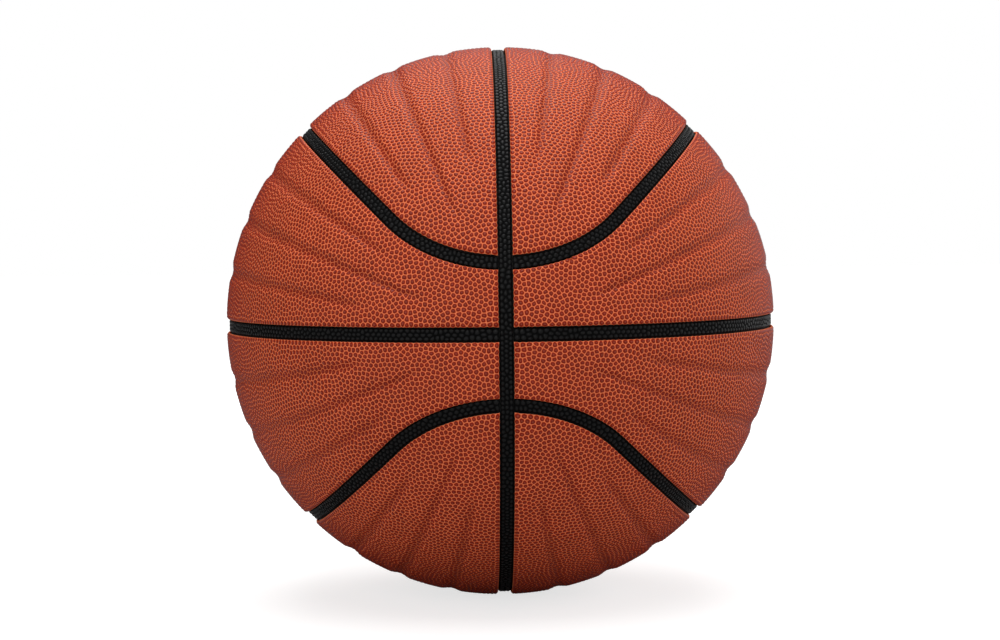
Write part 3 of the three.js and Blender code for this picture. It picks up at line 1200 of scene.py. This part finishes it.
class RubberGroup(EffectGroup):
    """Rubber with soft mottling, a little pale dust and a fine moulded skin."""

    NAME = "rubber_skin"
    COLOURS = ("Base", "Dust")
    VALUES = ("Dusting", "Skin Scale", "Shine", "Spread")
    CLOUD_SCALE, CLOUD_DETAIL, CLOUD_ROUGHNESS = 160.0, 4.0, 0.25
    SKIN_DETAIL = 3.0
    DUST_RAMP = (0.45, 0.75)

    @classmethod
    def wire(cls, bench: NodeBench, given: Sockets) -> dict[str, Socket]:
        """Links the group's nodes.

        Args:
            bench: The group's bench.
            given: The group's inputs.

        Returns:
            The group's outputs by name.
        """
        place = bench.place()
        cloud = bench.noise(place, cls.CLOUD_SCALE, cls.CLOUD_DETAIL)
        skin = bench.noise(place, given["Skin Scale"], cls.SKIN_DETAIL)
        dust = bench.math("MULTIPLY", bench.ease(cloud, cls.DUST_RAMP), given["Dusting"])
        colour = bench.blend(dust, given["Base"], given["Dust"])
        return {
            "Color": bench.brighten(colour, bench.swing(skin, given["Spread"], 1.0)),
            "Roughness": bench.math("MULTIPLY_ADD", cloud, cls.CLOUD_ROUGHNESS, given["Shine"]),
            "Height": skin,
        }


class ThreadGroup(EffectGroup):
    """Nylon thread wound over itself in several directions."""

    NAME = "thread_lay"
    COLOURS = ("Thread", "Shade")
    VALUES = ("Thread Scale",)
    TILTS = ((0.0, 0.0, 0.0), (1.1, 0.77, 1.43), (2.2, 1.54, 2.86))
    DISTORTION = 0.4
    LAY_RAMP = (0.3, 0.95)
    SHINE_SCALE, SHINE_DETAIL = 300.0, 3.0
    SHINE_SPREAD, SHINE_LEAST = 0.2, 0.5

    @classmethod
    def lay(cls, bench: NodeBench, place: Socket, tilt: tuple[float, ...], scale: Feed) -> Socket:
        """Lays threads side by side in one direction.

        Args:
            bench: The group's bench.
            place: The place on the object.
            tilt: The turns that the direction is tilted by.
            scale: How close the threads lie.

        Returns:
            Their height.
        """
        feeds = {"Vector": place, "Rotation": tilt}
        turned = bench.add("ShaderNodeVectorRotate", feeds, rotation_type="EULER_XYZ").outputs[0]
        feeds = {"Vector": turned, "Scale": scale, "Distortion": cls.DISTORTION}
        wave = bench.add("ShaderNodeTexWave", feeds, wave_type="BANDS", bands_direction="Z")
        return wave.outputs["Fac"]

    @classmethod
    def wire(cls, bench: NodeBench, given: Sockets) -> dict[str, Socket]:
        """Links the group's nodes.

        Args:
            bench: The group's bench.
            given: The group's inputs.

        Returns:
            The group's outputs by name.
        """
        place = bench.place()
        height, *others = (cls.lay(bench, place, tilt, given["Thread Scale"]) for tilt in cls.TILTS)
        for other in others:
            height = bench.math("MAXIMUM", height, other)
        shine = bench.noise(place, cls.SHINE_SCALE, cls.SHINE_DETAIL)
        share = bench.ease(height, cls.LAY_RAMP)
        return {
            "Color": bench.blend(share, given["Shade"], given["Thread"]),
            "Roughness": bench.math("MULTIPLY_ADD", shine, cls.SHINE_SPREAD, cls.SHINE_LEAST),
            "Height": height,
        }


@dataclass(frozen=True, kw_only=True)
class Finish:
    """A finish of one slot: its effect group, and what is the same all over the surface."""

    GROUP: ClassVar[type[EffectGroup]] = EffectGroup

    slot: Slot
    specular: float = 0.5
    coat_roughness: float = 0.4
    bump_depth: float = 0.02

    def values(self) -> dict[str, Feed]:
        """The values of the group's inputs, from the fields of the same names."""
        labels = self.GROUP.COLOURS + self.GROUP.VALUES
        return {label: getattr(self, label.lower().replace(" ", "_")) for label in labels}

    def material(self) -> bpy.types.Material:
        """Makes the finish's material.

        Returns:
            The material, which is built once.
        """
        name = f"{self.slot.value}_finish"
        found = bpy.data.materials.get(name)
        if found is not None:
            return found
        material = bpy.data.materials.new(name)
        material.use_nodes = True
        bench = NodeBench(material.node_tree)
        shader = material.node_tree.nodes["Principled BSDF"]
        group = bench.add("ShaderNodeGroup", self.values(), node_tree=self.GROUP.tree())
        effect = group.outputs
        depth = self.bump_depth * MILLIMETRE
        bump = bench.add("ShaderNodeBump", {"Distance": depth, "Height": effect["Height"]})
        feeds = {
            "Base Color": effect["Color"],
            "Roughness": effect["Roughness"],
            "Normal": bump.outputs["Normal"],
            "Specular IOR Level": self.specular,
        }
        if "Coat" in self.GROUP.MASKS:
            feeds |= {"Coat Weight": effect["Coat"], "Coat Roughness": self.coat_roughness}
        bench.feed(shader, feeds)
        return material


@dataclass(frozen=True, kw_only=True)
class PebbledLeather(Finish):
    """Composite leather: the colours of its pebbles from the crown, lightened as a painted
    highlight, to the web, and its gloss.
    """

    GROUP: ClassVar[type[EffectGroup]] = PebbleGroup

    crown: Colour
    top: Colour
    flank: Colour
    web: Colour
    tone_spread: float
    mottle: float
    crease_shade: float
    top_roughness: float
    web_roughness: float
    gloss: float
    gloss_start: float


@dataclass(frozen=True, kw_only=True)
class MouldedRubber(Finish):
    """Rubber: its colour, the dust on it, and the scale and strength of its skin."""

    GROUP: ClassVar[type[EffectGroup]] = RubberGroup

    base: Colour
    dust: Colour
    dusting: float
    skin_scale: float
    shine: float
    spread: float


@dataclass(frozen=True, kw_only=True)
class WoundThread(Finish):
    """Wound thread: its colour, the shade between its turns, and their scale."""

    GROUP: ClassVar[type[EffectGroup]] = ThreadGroup

    thread: Colour
    shade: Colour
    thread_scale: float


COVER_LEATHER = PebbledLeather(
    slot=Slot.COVER,
    # The crown colour, lighter than the top, is a painted highlight on each pebble's centre.
    crown=srgb(151, 57, 34),
    top=srgb(122, 16, 0),
    flank=srgb(184, 55, 22),
    web=srgb(250, 141, 95),
    tone_spread=0.22,
    # Share of painted shade in the deepest creases.
    mottle=0.2,
    crease_shade=0.3,
    top_roughness=0.5,
    web_roughness=0.7,
    gloss=0.5,
    gloss_start=0.66,
    specular=0.05,
    coat_roughness=0.28,
)
CHANNEL_LEATHER = PebbledLeather(
    slot=Slot.CHANNEL,
    # The crown colour, a little lighter than the top, is a painted highlight on each pebble's
    # centre.
    crown=srgb(10, 10, 11),
    top=srgb(9, 9, 10),
    flank=srgb(9, 9, 10),
    web=srgb(8, 8, 8),
    tone_spread=0.25,
    mottle=0.2,
    crease_shade=0.0,
    top_roughness=0.5,
    web_roughness=0.8,
    gloss=0.3,
    gloss_start=0.5,
    specular=0.05,
    coat_roughness=0.28,
)
SPONGE = MouldedRubber(
    slot=Slot.SPONGE,
    base=srgb(74, 74, 72),
    dust=srgb(110, 108, 104),
    dusting=0.5,
    skin_scale=900.0,
    shine=0.75,
    spread=0.7,
    bump_depth=0.3,
)
CARCASS_RUBBER = MouldedRubber(
    slot=Slot.CARCASS,
    base=srgb(32, 32, 32),
    dust=srgb(96, 94, 90),
    dusting=0.35,
    skin_scale=700.0,
    shine=0.6,
    spread=0.4,
    bump_depth=0.08,
)
NYLON_THREAD = WoundThread(
    slot=Slot.THREAD,
    thread=srgb(224, 219, 206),
    shade=srgb(142, 134, 118),
    thread_scale=260.0,
    bump_depth=0.3,
)
BUTYL = MouldedRubber(
    slot=Slot.BLADDER,
    base=srgb(20, 20, 21),
    dust=srgb(70, 70, 70),
    dusting=0.25,
    skin_scale=450.0,
    shine=0.42,
    spread=0.3,
    bump_depth=0.05,
)
VALVE_RUBBER = MouldedRubber(
    slot=Slot.VALVE,
    base=srgb(27, 27, 28),
    dust=srgb(84, 80, 76),
    dusting=0.2,
    skin_scale=2600.0,
    shine=0.4,
    spread=0.35,
    bump_depth=0.02,
)
CORE_RUBBER = MouldedRubber(
    slot=Slot.CORE,
    base=srgb(34, 34, 35),
    dust=srgb(104, 98, 92),
    dusting=0.3,
    skin_scale=3200.0,
    shine=0.36,
    spread=0.3,
    bump_depth=0.015,
)


def place_piece(
    mesh: bpy.types.Mesh, node: str, finish: Finish, body: Body = Body.BALL
) -> bpy.types.Object:
    """Puts a piece in the scene for the node that it stands for.

    Args:
        mesh: The piece's mesh.
        node: The node that it stands for.
        finish: Its finish.
        body: The body that it rides on.

    Returns:
        The piece.
    """
    mesh.materials.append(finish.material())
    piece = bpy.data.objects.new(f"{node}_piece", mesh)
    bpy.context.scene.collection.objects.link(piece)
    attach(piece, body.value)
    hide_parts(node)
    return piece


@dataclass
class Valve:
    """The valve: its place on the ball, its housing and its pull-out core."""

    WELD = 1e-7

    sizes: BallSizes
    from_pole: float = 108.0
    turn: float = 1.5 * math.pi / 16
    recess: float = 0.8
    clearance: float = 0.3
    stem_wall: float = 1.1
    stem_below_flange: float = 11.0
    flange_diameter: float = 26.0
    flange_thickness: float = 1.6
    core_diameter: float = 4.2
    core_length: float = 18.0
    core_closed_end: float = 9.0
    core_tip: float = 1.0
    head_lip: float = 0.7
    head_thickness: float = 1.2
    needle_diameter: float = 1.6
    lead_in: float = 0.6
    chamfer: float = 0.22
    sharp_angle: float = 38.0
    turns: int = 64
    rim_steps: int = 96
    flange_points: int = 6
    tip_points: int = 5

    @property
    def local_axis(self) -> Array:
        """The valve's direction in the quarter that the panels are first built for."""
        return direction(self.from_pole / self.sizes.radius, self.turn)

    @property
    def axis(self) -> Vector:
        """The valve's direction on the finished ball."""
        return Vector(self.local_axis * np.array(VALVE_QUARTER.value))

    @property
    def top(self) -> float:
        """Height of the valve's end face above the ball's centre."""
        return self.sizes.radius - self.recess

    @property
    def seat_radius(self) -> float:
        """Radius of the seat for the core's head."""
        return self.core_diameter / 2 + self.head_lip + self.clearance

    @property
    def stem_radius(self) -> float:
        """Radius of the housing's stem."""
        return self.seat_radius + self.stem_wall

    @property
    def hole_radius(self) -> float:
        """Radius of the hole through the layers."""
        return self.stem_radius + self.clearance

    def rim(self) -> Array:
        """Draws the rim of the hole.

        Returns:
            The directions of its points, with the sheet on its left.
        """
        axis = self.local_axis
        across = np.cross(axis, UP)
        across /= np.linalg.norm(across)
        other = np.cross(axis, across)
        angles = -np.linspace(0.0, 2 * math.pi, self.rim_steps + 1)[:, None]
        reach = math.asin(self.hole_radius / self.sizes.radius)
        ring = np.cos(angles) * across + np.sin(angles) * other
        return math.cos(reach) * axis + math.sin(reach) * ring

    def revolved(self, name: str, profile: Profile) -> bpy.types.Mesh:
        """Turns a closed profile about the valve's axis.

        Args:
            name: The mesh's name.
            profile: Points of (radius, height above the ball's centre), the solid on their left.

        Returns:
            The closed mesh, in metres.
        """
        points, turns = np.array(profile), self.turns
        angles = np.linspace(0.0, 2 * math.pi, turns, endpoint=False)
        ring = np.stack((np.cos(angles), np.sin(angles)), axis=-1)
        heights = np.broadcast_to(points[:, 1, None, None], (len(points), turns, 1))
        places = np.concatenate((points[:, 0, None, None] * ring[None], heights), axis=-1)
        tilt = np.array(Vector(UP).rotation_difference(self.axis).to_matrix())
        places = places.reshape(-1, 3) @ tilt.T * MILLIMETRE
        faces = []
        for row in range(len(points)):
            after = (row + 1) % len(points)
            if points[row, 0] == 0 and points[after, 0] == 0:
                continue
            here, there = row * turns, after * turns
            for step in range(turns):
                ahead = (step + 1) % turns
                faces.append((here + step, here + ahead, there + ahead, there + step))
        mesh = bpy.data.meshes.new(name)
        mesh.from_pydata(places.tolist(), [], faces)
        weld(mesh, self.WELD)
        mesh.shade_smooth()
        mesh.set_sharp_from_angle(angle=math.radians(self.sharp_angle))
        return mesh

    def _cap(self, radius: float, start: float, end: float) -> Profile:
        """Points on a ball of a radius, from one distance off the axis to another."""
        distances = np.linspace(start, end, self.flange_points).tolist()
        return [(distance, math.sqrt(radius**2 - distance**2)) for distance in distances]

    def housing_profile(self) -> Profile:
        """Draws the housing: bore, head seat, end face, stem, flange and tube.

        Returns:
            Its profile.
        """
        bore = self.core_diameter / 2 + self.clearance
        seat = self.top - self.head_thickness - self.clearance
        flange_top = self.sizes.bladder_inner - self.sizes.layer_gap
        flange_bottom = flange_top - self.flange_thickness
        tube_end = flange_bottom - self.stem_below_flange
        rim = self.flange_diameter / 2
        cut = self.chamfer
        edge = self.flange_thickness / 4
        return (
            (bore, tube_end),
            (bore, seat),
            (self.seat_radius, seat),
            (self.seat_radius, self.top - cut),
            (self.seat_radius + cut, self.top),
            (self.stem_radius - cut, self.top),
            (self.stem_radius, self.top - cut),
            (self.stem_radius, math.sqrt(flange_top**2 - self.stem_radius**2)),
            *self._cap(flange_top, self.stem_radius, rim - edge),
            (rim, math.sqrt(flange_top**2 - rim**2) - edge),
            (rim, math.sqrt(flange_bottom**2 - rim**2) + edge),
            *self._cap(flange_bottom, rim - edge, self.stem_radius),
            (self.stem_radius, tube_end + cut),
            (self.stem_radius - cut, tube_end),
        )

    def core_profile(self) -> Profile:
        """Draws the core: needle hole, head, body and rounded tip.

        Returns:
            Its profile.
        """
        body = self.core_diameter / 2
        head = body + self.head_lip
        needle = self.needle_diameter / 2
        bottom = self.top - self.core_length
        under_head = self.top - self.head_thickness
        cut, tip = self.chamfer, self.core_tip
        rounding = [
            (body - tip + tip * math.cos(angle), bottom + tip - tip * math.sin(angle))
            for angle in np.linspace(0.0, math.pi / 2, self.tip_points).tolist()
        ]
        return (
            (0.0, bottom + self.core_closed_end),
            (needle, bottom + self.core_closed_end),
            (needle, self.top - self.lead_in),
            (needle + self.lead_in, self.top),
            (head - cut, self.top),
            (head, self.top - cut),
            (head, under_head + cut),
            (head - cut, under_head),
            (body, under_head),
            *rounding,
            (0.0, bottom),
        )

    def build(self) -> list[bpy.types.Object]:
        """Makes the housing and the core.

        Returns:
            The pieces.
        """
        housing = self.revolved("valve_housing", self.housing_profile())
        core = self.revolved("valve_core", self.core_profile())
        return [
            place_piece(housing, "valve_housing", VALVE_RUBBER),
            place_piece(core, "valve_core", CORE_RUBBER, Body.CORE),
        ]


@dataclass
class InnerLayers:
    """The carcass, the thread winding and the bladder, as shells pierced for the valve."""

    sizes: BallSizes
    valve: Valve
    steps: int = 72

    def shell_profile(self, outer: float, inner: float) -> Profile:
        """Draws a shell, from the valve's hole over the outside and back inside.

        Args:
            outer: Radius of its outside.
            inner: Radius of its inside.

        Returns:
            Its profile.
        """
        profile = []
        for radius, way in ((outer, 1), (inner, -1)):
            start = math.asin(self.valve.hole_radius / radius)
            for angle in np.linspace(start, math.pi, self.steps)[::way]:
                distance = radius * math.sin(angle)
                on_axis = distance < TINY
                profile.append((0.0 if on_axis else distance, radius * math.cos(angle)))
        return profile

    def build(self) -> list[bpy.types.Object]:
        """Makes the three shells.

        Returns:
            The pieces.
        """
        sizes = self.sizes
        pieces = []
        for node, outer, inner, finish in (
            ("carcass", sizes.carcass_outer, sizes.carcass_inner, CARCASS_RUBBER),
            ("thread_winding", sizes.winding_outer, sizes.winding_inner, NYLON_THREAD),
            ("bladder", sizes.bladder_outer, sizes.bladder_inner, BUTYL),
        ):
            mesh = self.valve.revolved(node, self.shell_profile(outer, inner))
            pieces.append(place_piece(mesh, node, finish))
        return pieces


@dataclass(frozen=True)
class PanelShape:
    """A shape of panel: the turn of its middle, its sides, and where its grooves start."""

    kind: PanelKind
    middle: float
    sides: Callable[[float], list[Array]]
    groove_starts: tuple[float, ...]


@dataclass(frozen=True)
class PanelLayer:
    """A layer of a panel: its distance from the seams, as an angle, its grain and its radii."""

    kind: LayerKind
    inset: float
    grain: Grain
    top: float
    under: float
    finish: Finish


@dataclass
class Panels:
    """The eight cover panels, with pebbles and grip grooves, and the sponge pads below them."""

    LAYOUT_ROWS = 2

    sizes: BallSizes
    seams: SeamNet
    valve: Valve
    leather: Grain = Grain(
        pitch=2.04, relief=0.44, rim_inset=0.34, edge_drop=0.9, edge_roll=1.6, scallop=0.25, seed=11
    )
    foam: Grain = Grain(
        pitch=4.5, relief=0.0, rim_inset=0.8, edge_drop=0.3, edge_roll=0.3, scallop=0.0, seed=23
    )
    pad_set_back: float = 0.6
    narrowest_groove: float = 3.0
    end_deepening: float = 0.55
    groove_pitch: float = math.pi / 16

    def shapes(self) -> tuple[PanelShape, PanelShape]:
        """Gives the shapes of the panels.

        Returns:
            The band and the cap panel.
        """
        sizes, seams, turn = self.sizes, self.seams, self.seams.CAP_TURN
        return (
            PanelShape(PanelKind.BAND, turn / 2, seams.band_sides, sizes.band_groove_starts),
            PanelShape(PanelKind.CAP, turn * 1.5, seams.cap_sides, sizes.cap_groove_starts),
        )

    def layers(self) -> tuple[PanelLayer, PanelLayer]:
        """Gives the layers of a panel.

        Returns:
            The cover and the pad below it.
        """
        sizes = self.sizes
        cover = PanelLayer(
            kind=LayerKind.COVER,
            inset=sizes.half_channel,
            grain=self.leather,
            top=sizes.radius,
            under=sizes.cover_inner,
            finish=COVER_LEATHER,
        )
        pad = PanelLayer(
            kind=LayerKind.PAD,
            inset=sizes.half_channel + self.pad_set_back / sizes.radius,
            grain=self.foam,
            top=sizes.pad_outer,
            under=sizes.pad_inner,
            finish=SPONGE,
        )
        return cover, pad

    def groove_depth(self, places: Array, shape: PanelShape) -> Array:
        """Finds how deep the grip grooves lie at directions on a panel.

        Args:
            places: The directions.
            shape: The panel's shape.

        Returns:
            The depth below the ball's surface.
        """
        sizes = self.sizes
        polar = np.arccos(np.clip(-places[:, 1], -1.0, 1.0))
        from_pole = np.minimum(polar, math.pi - polar) * sizes.radius
        half = np.maximum(sizes.groove_width * np.sin(polar), self.narrowest_groove) / 2
        lowest = shape.middle - self.seams.CAP_TURN / 2
        depth = np.zeros(len(places))
        for number, start in enumerate(shape.groove_starts, 1):
            turn = lowest + number * self.groove_pitch
            side = direction(math.pi / 2, turn + math.pi / 2)
            away = np.abs(np.arcsin(np.clip(places @ side, -1.0, 1.0))) * sizes.radius
            valley = 0.5 + 0.5 * np.cos(math.pi * np.minimum(away / half, 1.0))
            depth += valley * smoothstep(from_pole, start, start + sizes.groove_fade)
        return depth * (sizes.groove_depth + self.end_deepening * np.cos(polar) ** 2)

    def sheet(self, shape: PanelShape, layer: PanelLayer, pierced: bool) -> SheetMesh:
        """Makes one panel's cover or pad.

        Args:
            shape: The panel's shape.
            layer: The layer.
            pierced: Whether the valve comes through it.

        Returns:
            Its mesh.
        """
        flat = PanelMap(self.sizes.radius, shape.middle)
        lines = shape.sides(layer.inset)
        if pierced:
            lines.append(self.valve.rim())
        sides = [Side(flat.to_plane(line)) for line in lines]

        def depth(places: Array) -> Array:
            """How deep the layer is folded at directions."""
            grooved = layer.kind is LayerKind.COVER
            return self.groove_depth(places, shape) if grooved else np.zeros(len(places))

        return LaidSheet(
            cells=CellField(sides, layer.grain).cells(),
            sides=sides,
            grain=layer.grain,
            to_ball=flat.to_ball,
            depth=depth,
            top=layer.top,
            under=layer.under,
            layout_rows=self.LAYOUT_ROWS,
        ).build()

    def build(self) -> list[bpy.types.Object]:
        """Makes the covers and the pads of all the quarters.

        Returns:
            The pieces.
        """
        pieces = []
        for shape in self.shapes():
            for layer in self.layers():
                plain = self.sheet(shape, layer, pierced=False)
                for quarter in Quarter:
                    node = f"{layer.kind.value}_{shape.kind.value}_{quarter.label}"
                    pierced = shape.kind is PanelKind.BAND and quarter is VALVE_QUARTER
                    sheet = self.sheet(shape, layer, pierced) if pierced else plain
                    piece = place_piece(sheet.to_mesh(node, quarter), node, layer.finish)
                    pieces.append(piece)
        return pieces


@dataclass
class ChannelStrips:
    """The black pebbled strips inlaid along the seams."""

    WELD = 1e-6

    sizes: BallSizes
    seams: SeamNet
    grain: Grain = Grain(
        pitch=1.95, relief=0.5, rim_inset=0.34, edge_drop=0.5, edge_roll=0.8, scallop=0.15, seed=37
    )
    row_length: float = 70.0

    def ribbon(self, length: float, beside: Beside, start: float = 0.0) -> SheetMesh:
        """Makes a strip with two ends.

        Args:
            length: Its length along the seam.
            beside: Directions for angles along and aside from the seam.
            start: Where along the seam it starts.

        Returns:
            Its mesh.
        """
        half, end = self.sizes.half_strip, start + length
        corners = np.array(((start, -half), (end, -half), (end, half), (start, half)))
        lines = np.stack((corners, np.roll(corners, -1, axis=0)), axis=1)
        return self._sheet(lines, beside, length)

    def ring(self, beside: Beside) -> SheetMesh:
        """Makes a strip that runs all the way round and meets its own start.

        Args:
            beside: Directions for angles along and aside from the seam.

        Returns:
            Its mesh.
        """
        half, length = self.sizes.half_strip, self.sizes.circumference
        lines = np.array((((0.0, -half), (length, -half)), ((length, half), (0.0, half))))
        return self._sheet(lines, beside, length, period=length)

    def _sheet(
        self, lines: Array, beside: Beside, length: float, period: float = 0.0
    ) -> SheetMesh:
        """Makes a strip between its sides.

        Args:
            lines: The two ends of each side.
            beside: Directions for angles along and aside from the seam.
            length: Its length along the seam.
            period: Length after which it meets its own start, or 0.

        Returns:
            Its mesh.
        """
        sizes = self.sizes
        sides = [Side(line) for line in lines]
        return LaidSheet(
            cells=CellField(sides, self.grain, period).cells(),
            sides=sides,
            grain=self.grain,
            to_ball=RibbonMap(sizes.radius, beside).to_ball,
            depth=lambda places: np.zeros(len(places)),
            top=sizes.radius - sizes.channel_depth,
            under=sizes.pad_inner,
            layout_rows=max(1, round(length / self.row_length)),
        ).build()

    def build(self) -> list[bpy.types.Object]:
        """Makes the strips of the level, upright and cap seams.

        Returns:
            The pieces.
        """
        radius, seams, end = self.sizes.radius, self.seams, self.sizes.half_channel
        level = self.ribbon((math.pi - 2 * end) * radius, seams.level, end * radius)
        bend, run = seams.cap_length(end)
        cap_length = (2 * bend + run) * radius
        cap = self.ribbon(cap_length, lambda along, aside: seams.cap(along, aside, end))
        upright = self.ring(lambda along, aside: seams.upright(along, -aside))
        pieces = []
        for node, sheet, quarter in (
            ("strip_level_right", level, Quarter.UPPER_RIGHT),
            ("strip_level_left", level, Quarter.LOWER_LEFT),
            ("strip_upright", upright, Quarter.UPPER_RIGHT),
            *((f"strip_cap_{quarter.label}", cap, quarter) for quarter in Quarter),
        ):
            mesh = sheet.to_mesh(node, quarter)
            if sheet is upright:
                weld(mesh, self.WELD)
            pieces.append(place_piece(mesh, node, CHANNEL_LEATHER))
        return pieces


@dataclass(frozen=True)
class Softbox:
    """A soft lamp that faces the ball: its place and size in metres and its power in watts."""

    name: str
    place: tuple[float, float, float]
    size: tuple[float, float]
    power: float

    def hang(self) -> None:
        """Hangs the lamp where the camera doesn't see it."""
        lamp = bpy.data.lights.new(self.name, "AREA")
        lamp.shape = "RECTANGLE"
        lamp.size, lamp.size_y = self.size
        lamp.energy = self.power
        holder = bpy.data.objects.new(self.name, lamp)
        holder.location = self.place
        holder.rotation_euler = Vector(self.place).to_track_quat("Z", "Y").to_euler()
        holder.visible_camera = False
        bpy.context.scene.collection.objects.link(holder)


@dataclass
class Studio:
    """The floor, the white ground behind it, the lamps and the camera."""

    sizes: BallSizes
    floor_size: float = 12.0
    floor_paint: Colour = (0.5, 0.5, 0.5, 1.0)
    white: Colour = (1.0, 1.0, 1.0, 1.0)
    ambient: float = 0.2
    gloss_share: float = 0.25
    near_glow: float = 0.72
    glow_ramp: tuple[float, float] = (0.2, 1.1)
    lens: float = 78.2
    sensor: float = 36.0
    shift: tuple[float, float] = (-0.0003, 0.0006)
    camera_radii: float = 8.0
    ball_turn: tuple[float, float, float] = (2.64, -0.71, 1.14)
    lamps: tuple[Softbox, ...] = (
        Softbox("overhead", (0.0, -0.3, 1.35), (1.2, 1.2), 14.0),
        Softbox("overhead_back", (0.0, 0.8, 1.2), (1.2, 0.8), 9.5),
        Softbox("right", (1.4, -0.35, 0.25), (1.2, 1.6), 5.6),
        Softbox("right_back", (1.1, 1.0, 0.3), (0.8, 1.2), 4.8),
        Softbox("left_front", (-1.1, -1.1, 0.3), (1.4, 1.6), 5.6),
        Softbox("front", (0.0, -1.6, 0.45), (0.8, 0.5), 3.2),
    )

    def _seen(self, bench: NodeBench, path: Sockets) -> Socket:
        """Finds how white the ground shows: fully to the camera, and dimly as gloss.

        Args:
            bench: The bench of the ground's tree.
            path: The outputs of its Light Path node.

        Returns:
            The share of white.
        """
        direct = bench.math("MAXIMUM", path["Is Camera Ray"], path["Is Transmission Ray"])
        gloss = bench.math("MULTIPLY", path["Is Glossy Ray"], self.gloss_share)
        return bench.math("MAXIMUM", direct, gloss)

    def _ground(self) -> bpy.types.Material:
        """Makes the floor's finish, which keeps the ball's shadow and turns white farther off.

        Returns:
            The material.
        """
        material = bpy.data.materials.new("studio_floor")
        material.use_nodes = True
        material.node_tree.nodes.clear()
        bench = NodeBench(material.node_tree)
        path = bench.add("ShaderNodeLightPath").outputs
        spread = bench.add("ShaderNodeVectorMath", {0: bench.place()}, operation="LENGTH")
        far = bench.ease(spread.outputs["Value"], self.glow_ramp)
        far_glow = bench.math("MULTIPLY", self._seen(bench, path), far)
        near_glow = bench.math("MULTIPLY", path["Is Camera Ray"], self.near_glow)
        strength = bench.math("MAXIMUM", near_glow, far_glow)
        glow = bench.add("ShaderNodeEmission", {"Strength": strength})
        paint = bench.add("ShaderNodeBsdfDiffuse", {"Color": self.floor_paint})
        both = bench.add("ShaderNodeAddShader", {0: paint.outputs[0], 1: glow.outputs[0]})
        bench.add("ShaderNodeOutputMaterial", {"Surface": both.outputs[0]})
        return material

    def _floor(self) -> None:
        """Lays a wide pale floor under the ball."""
        half = self.floor_size / 2
        corners = [(-half, -half, 0.0), (half, -half, 0.0), (half, half, 0.0), (-half, half, 0.0)]
        mesh = bpy.data.meshes.new("floor")
        mesh.from_pydata(corners, [], [(0, 1, 2, 3)])
        mesh.materials.append(self._ground())
        floor = bpy.data.objects.new("floor", mesh)
        floor.location.z = -self.sizes.radius * MILLIMETRE
        bpy.context.scene.collection.objects.link(floor)

    def _world(self) -> None:
        """Makes the world white to the camera, and a faint even light on the ball."""
        world = bpy.data.worlds.new("studio")
        world.use_nodes = True
        world.node_tree.nodes.clear()
        bpy.context.scene.world = world
        bench = NodeBench(world.node_tree)
        seen = self._seen(bench, bench.add("ShaderNodeLightPath").outputs)
        strength = bench.math("MAXIMUM", seen, self.ambient)
        feeds = {"Color": self.white, "Strength": strength}
        background = bench.add("ShaderNodeBackground", feeds)
        bench.add("ShaderNodeOutputWorld", {"Surface": background.outputs[0]})

    def _camera(self) -> None:
        """Sets the camera up at the photograph's angle and distance."""
        turn = Vector(self.ball_turn)
        spin = Quaternion(turn.normalized(), math.radians(turn.length)).to_matrix().transposed()
        right, up, back = spin @ Vector(RIGHT), spin @ Vector(UP), spin @ Vector((0.0, -1.0, 0.0))
        distance = self.camera_radii * self.sizes.radius * MILLIMETRE
        data = bpy.data.cameras.new("camera")
        data.lens = self.lens
        data.sensor_width = self.sensor
        data.shift_x, data.shift_y = self.shift
        camera = bpy.data.objects.new("camera", data)
        turned = Matrix((right, up, back)).transposed().to_4x4()
        camera.matrix_world = Matrix.Translation(back * distance) @ turned
        bpy.context.scene.collection.objects.link(camera)
        bpy.context.scene.camera = camera

    def build(self) -> None:
        """Sets up the studio."""
        self._floor()
        self._world()
        for lamp in self.lamps:
            lamp.hang()
        self._camera()
        bpy.context.scene.view_settings.view_transform = "Standard"


def main() -> None:
    """Builds the ball, reports its pieces, and sets up the studio round it."""
    logging.basicConfig(level=logging.INFO, format="%(name)s: %(message)s")
    sizes = BallSizes()
    seams = SeamNet(sizes)
    valve = Valve(sizes)
    panels = Panels(sizes, seams, valve)
    for assembly in (panels, ChannelStrips(sizes, seams), InnerLayers(sizes, valve), valve):
        for piece in assembly.build():
            LOG.info("%s: %d faces", piece.name, len(piece.data.polygons))
    Studio(sizes).build()


if __name__ == "__main__":
    main()
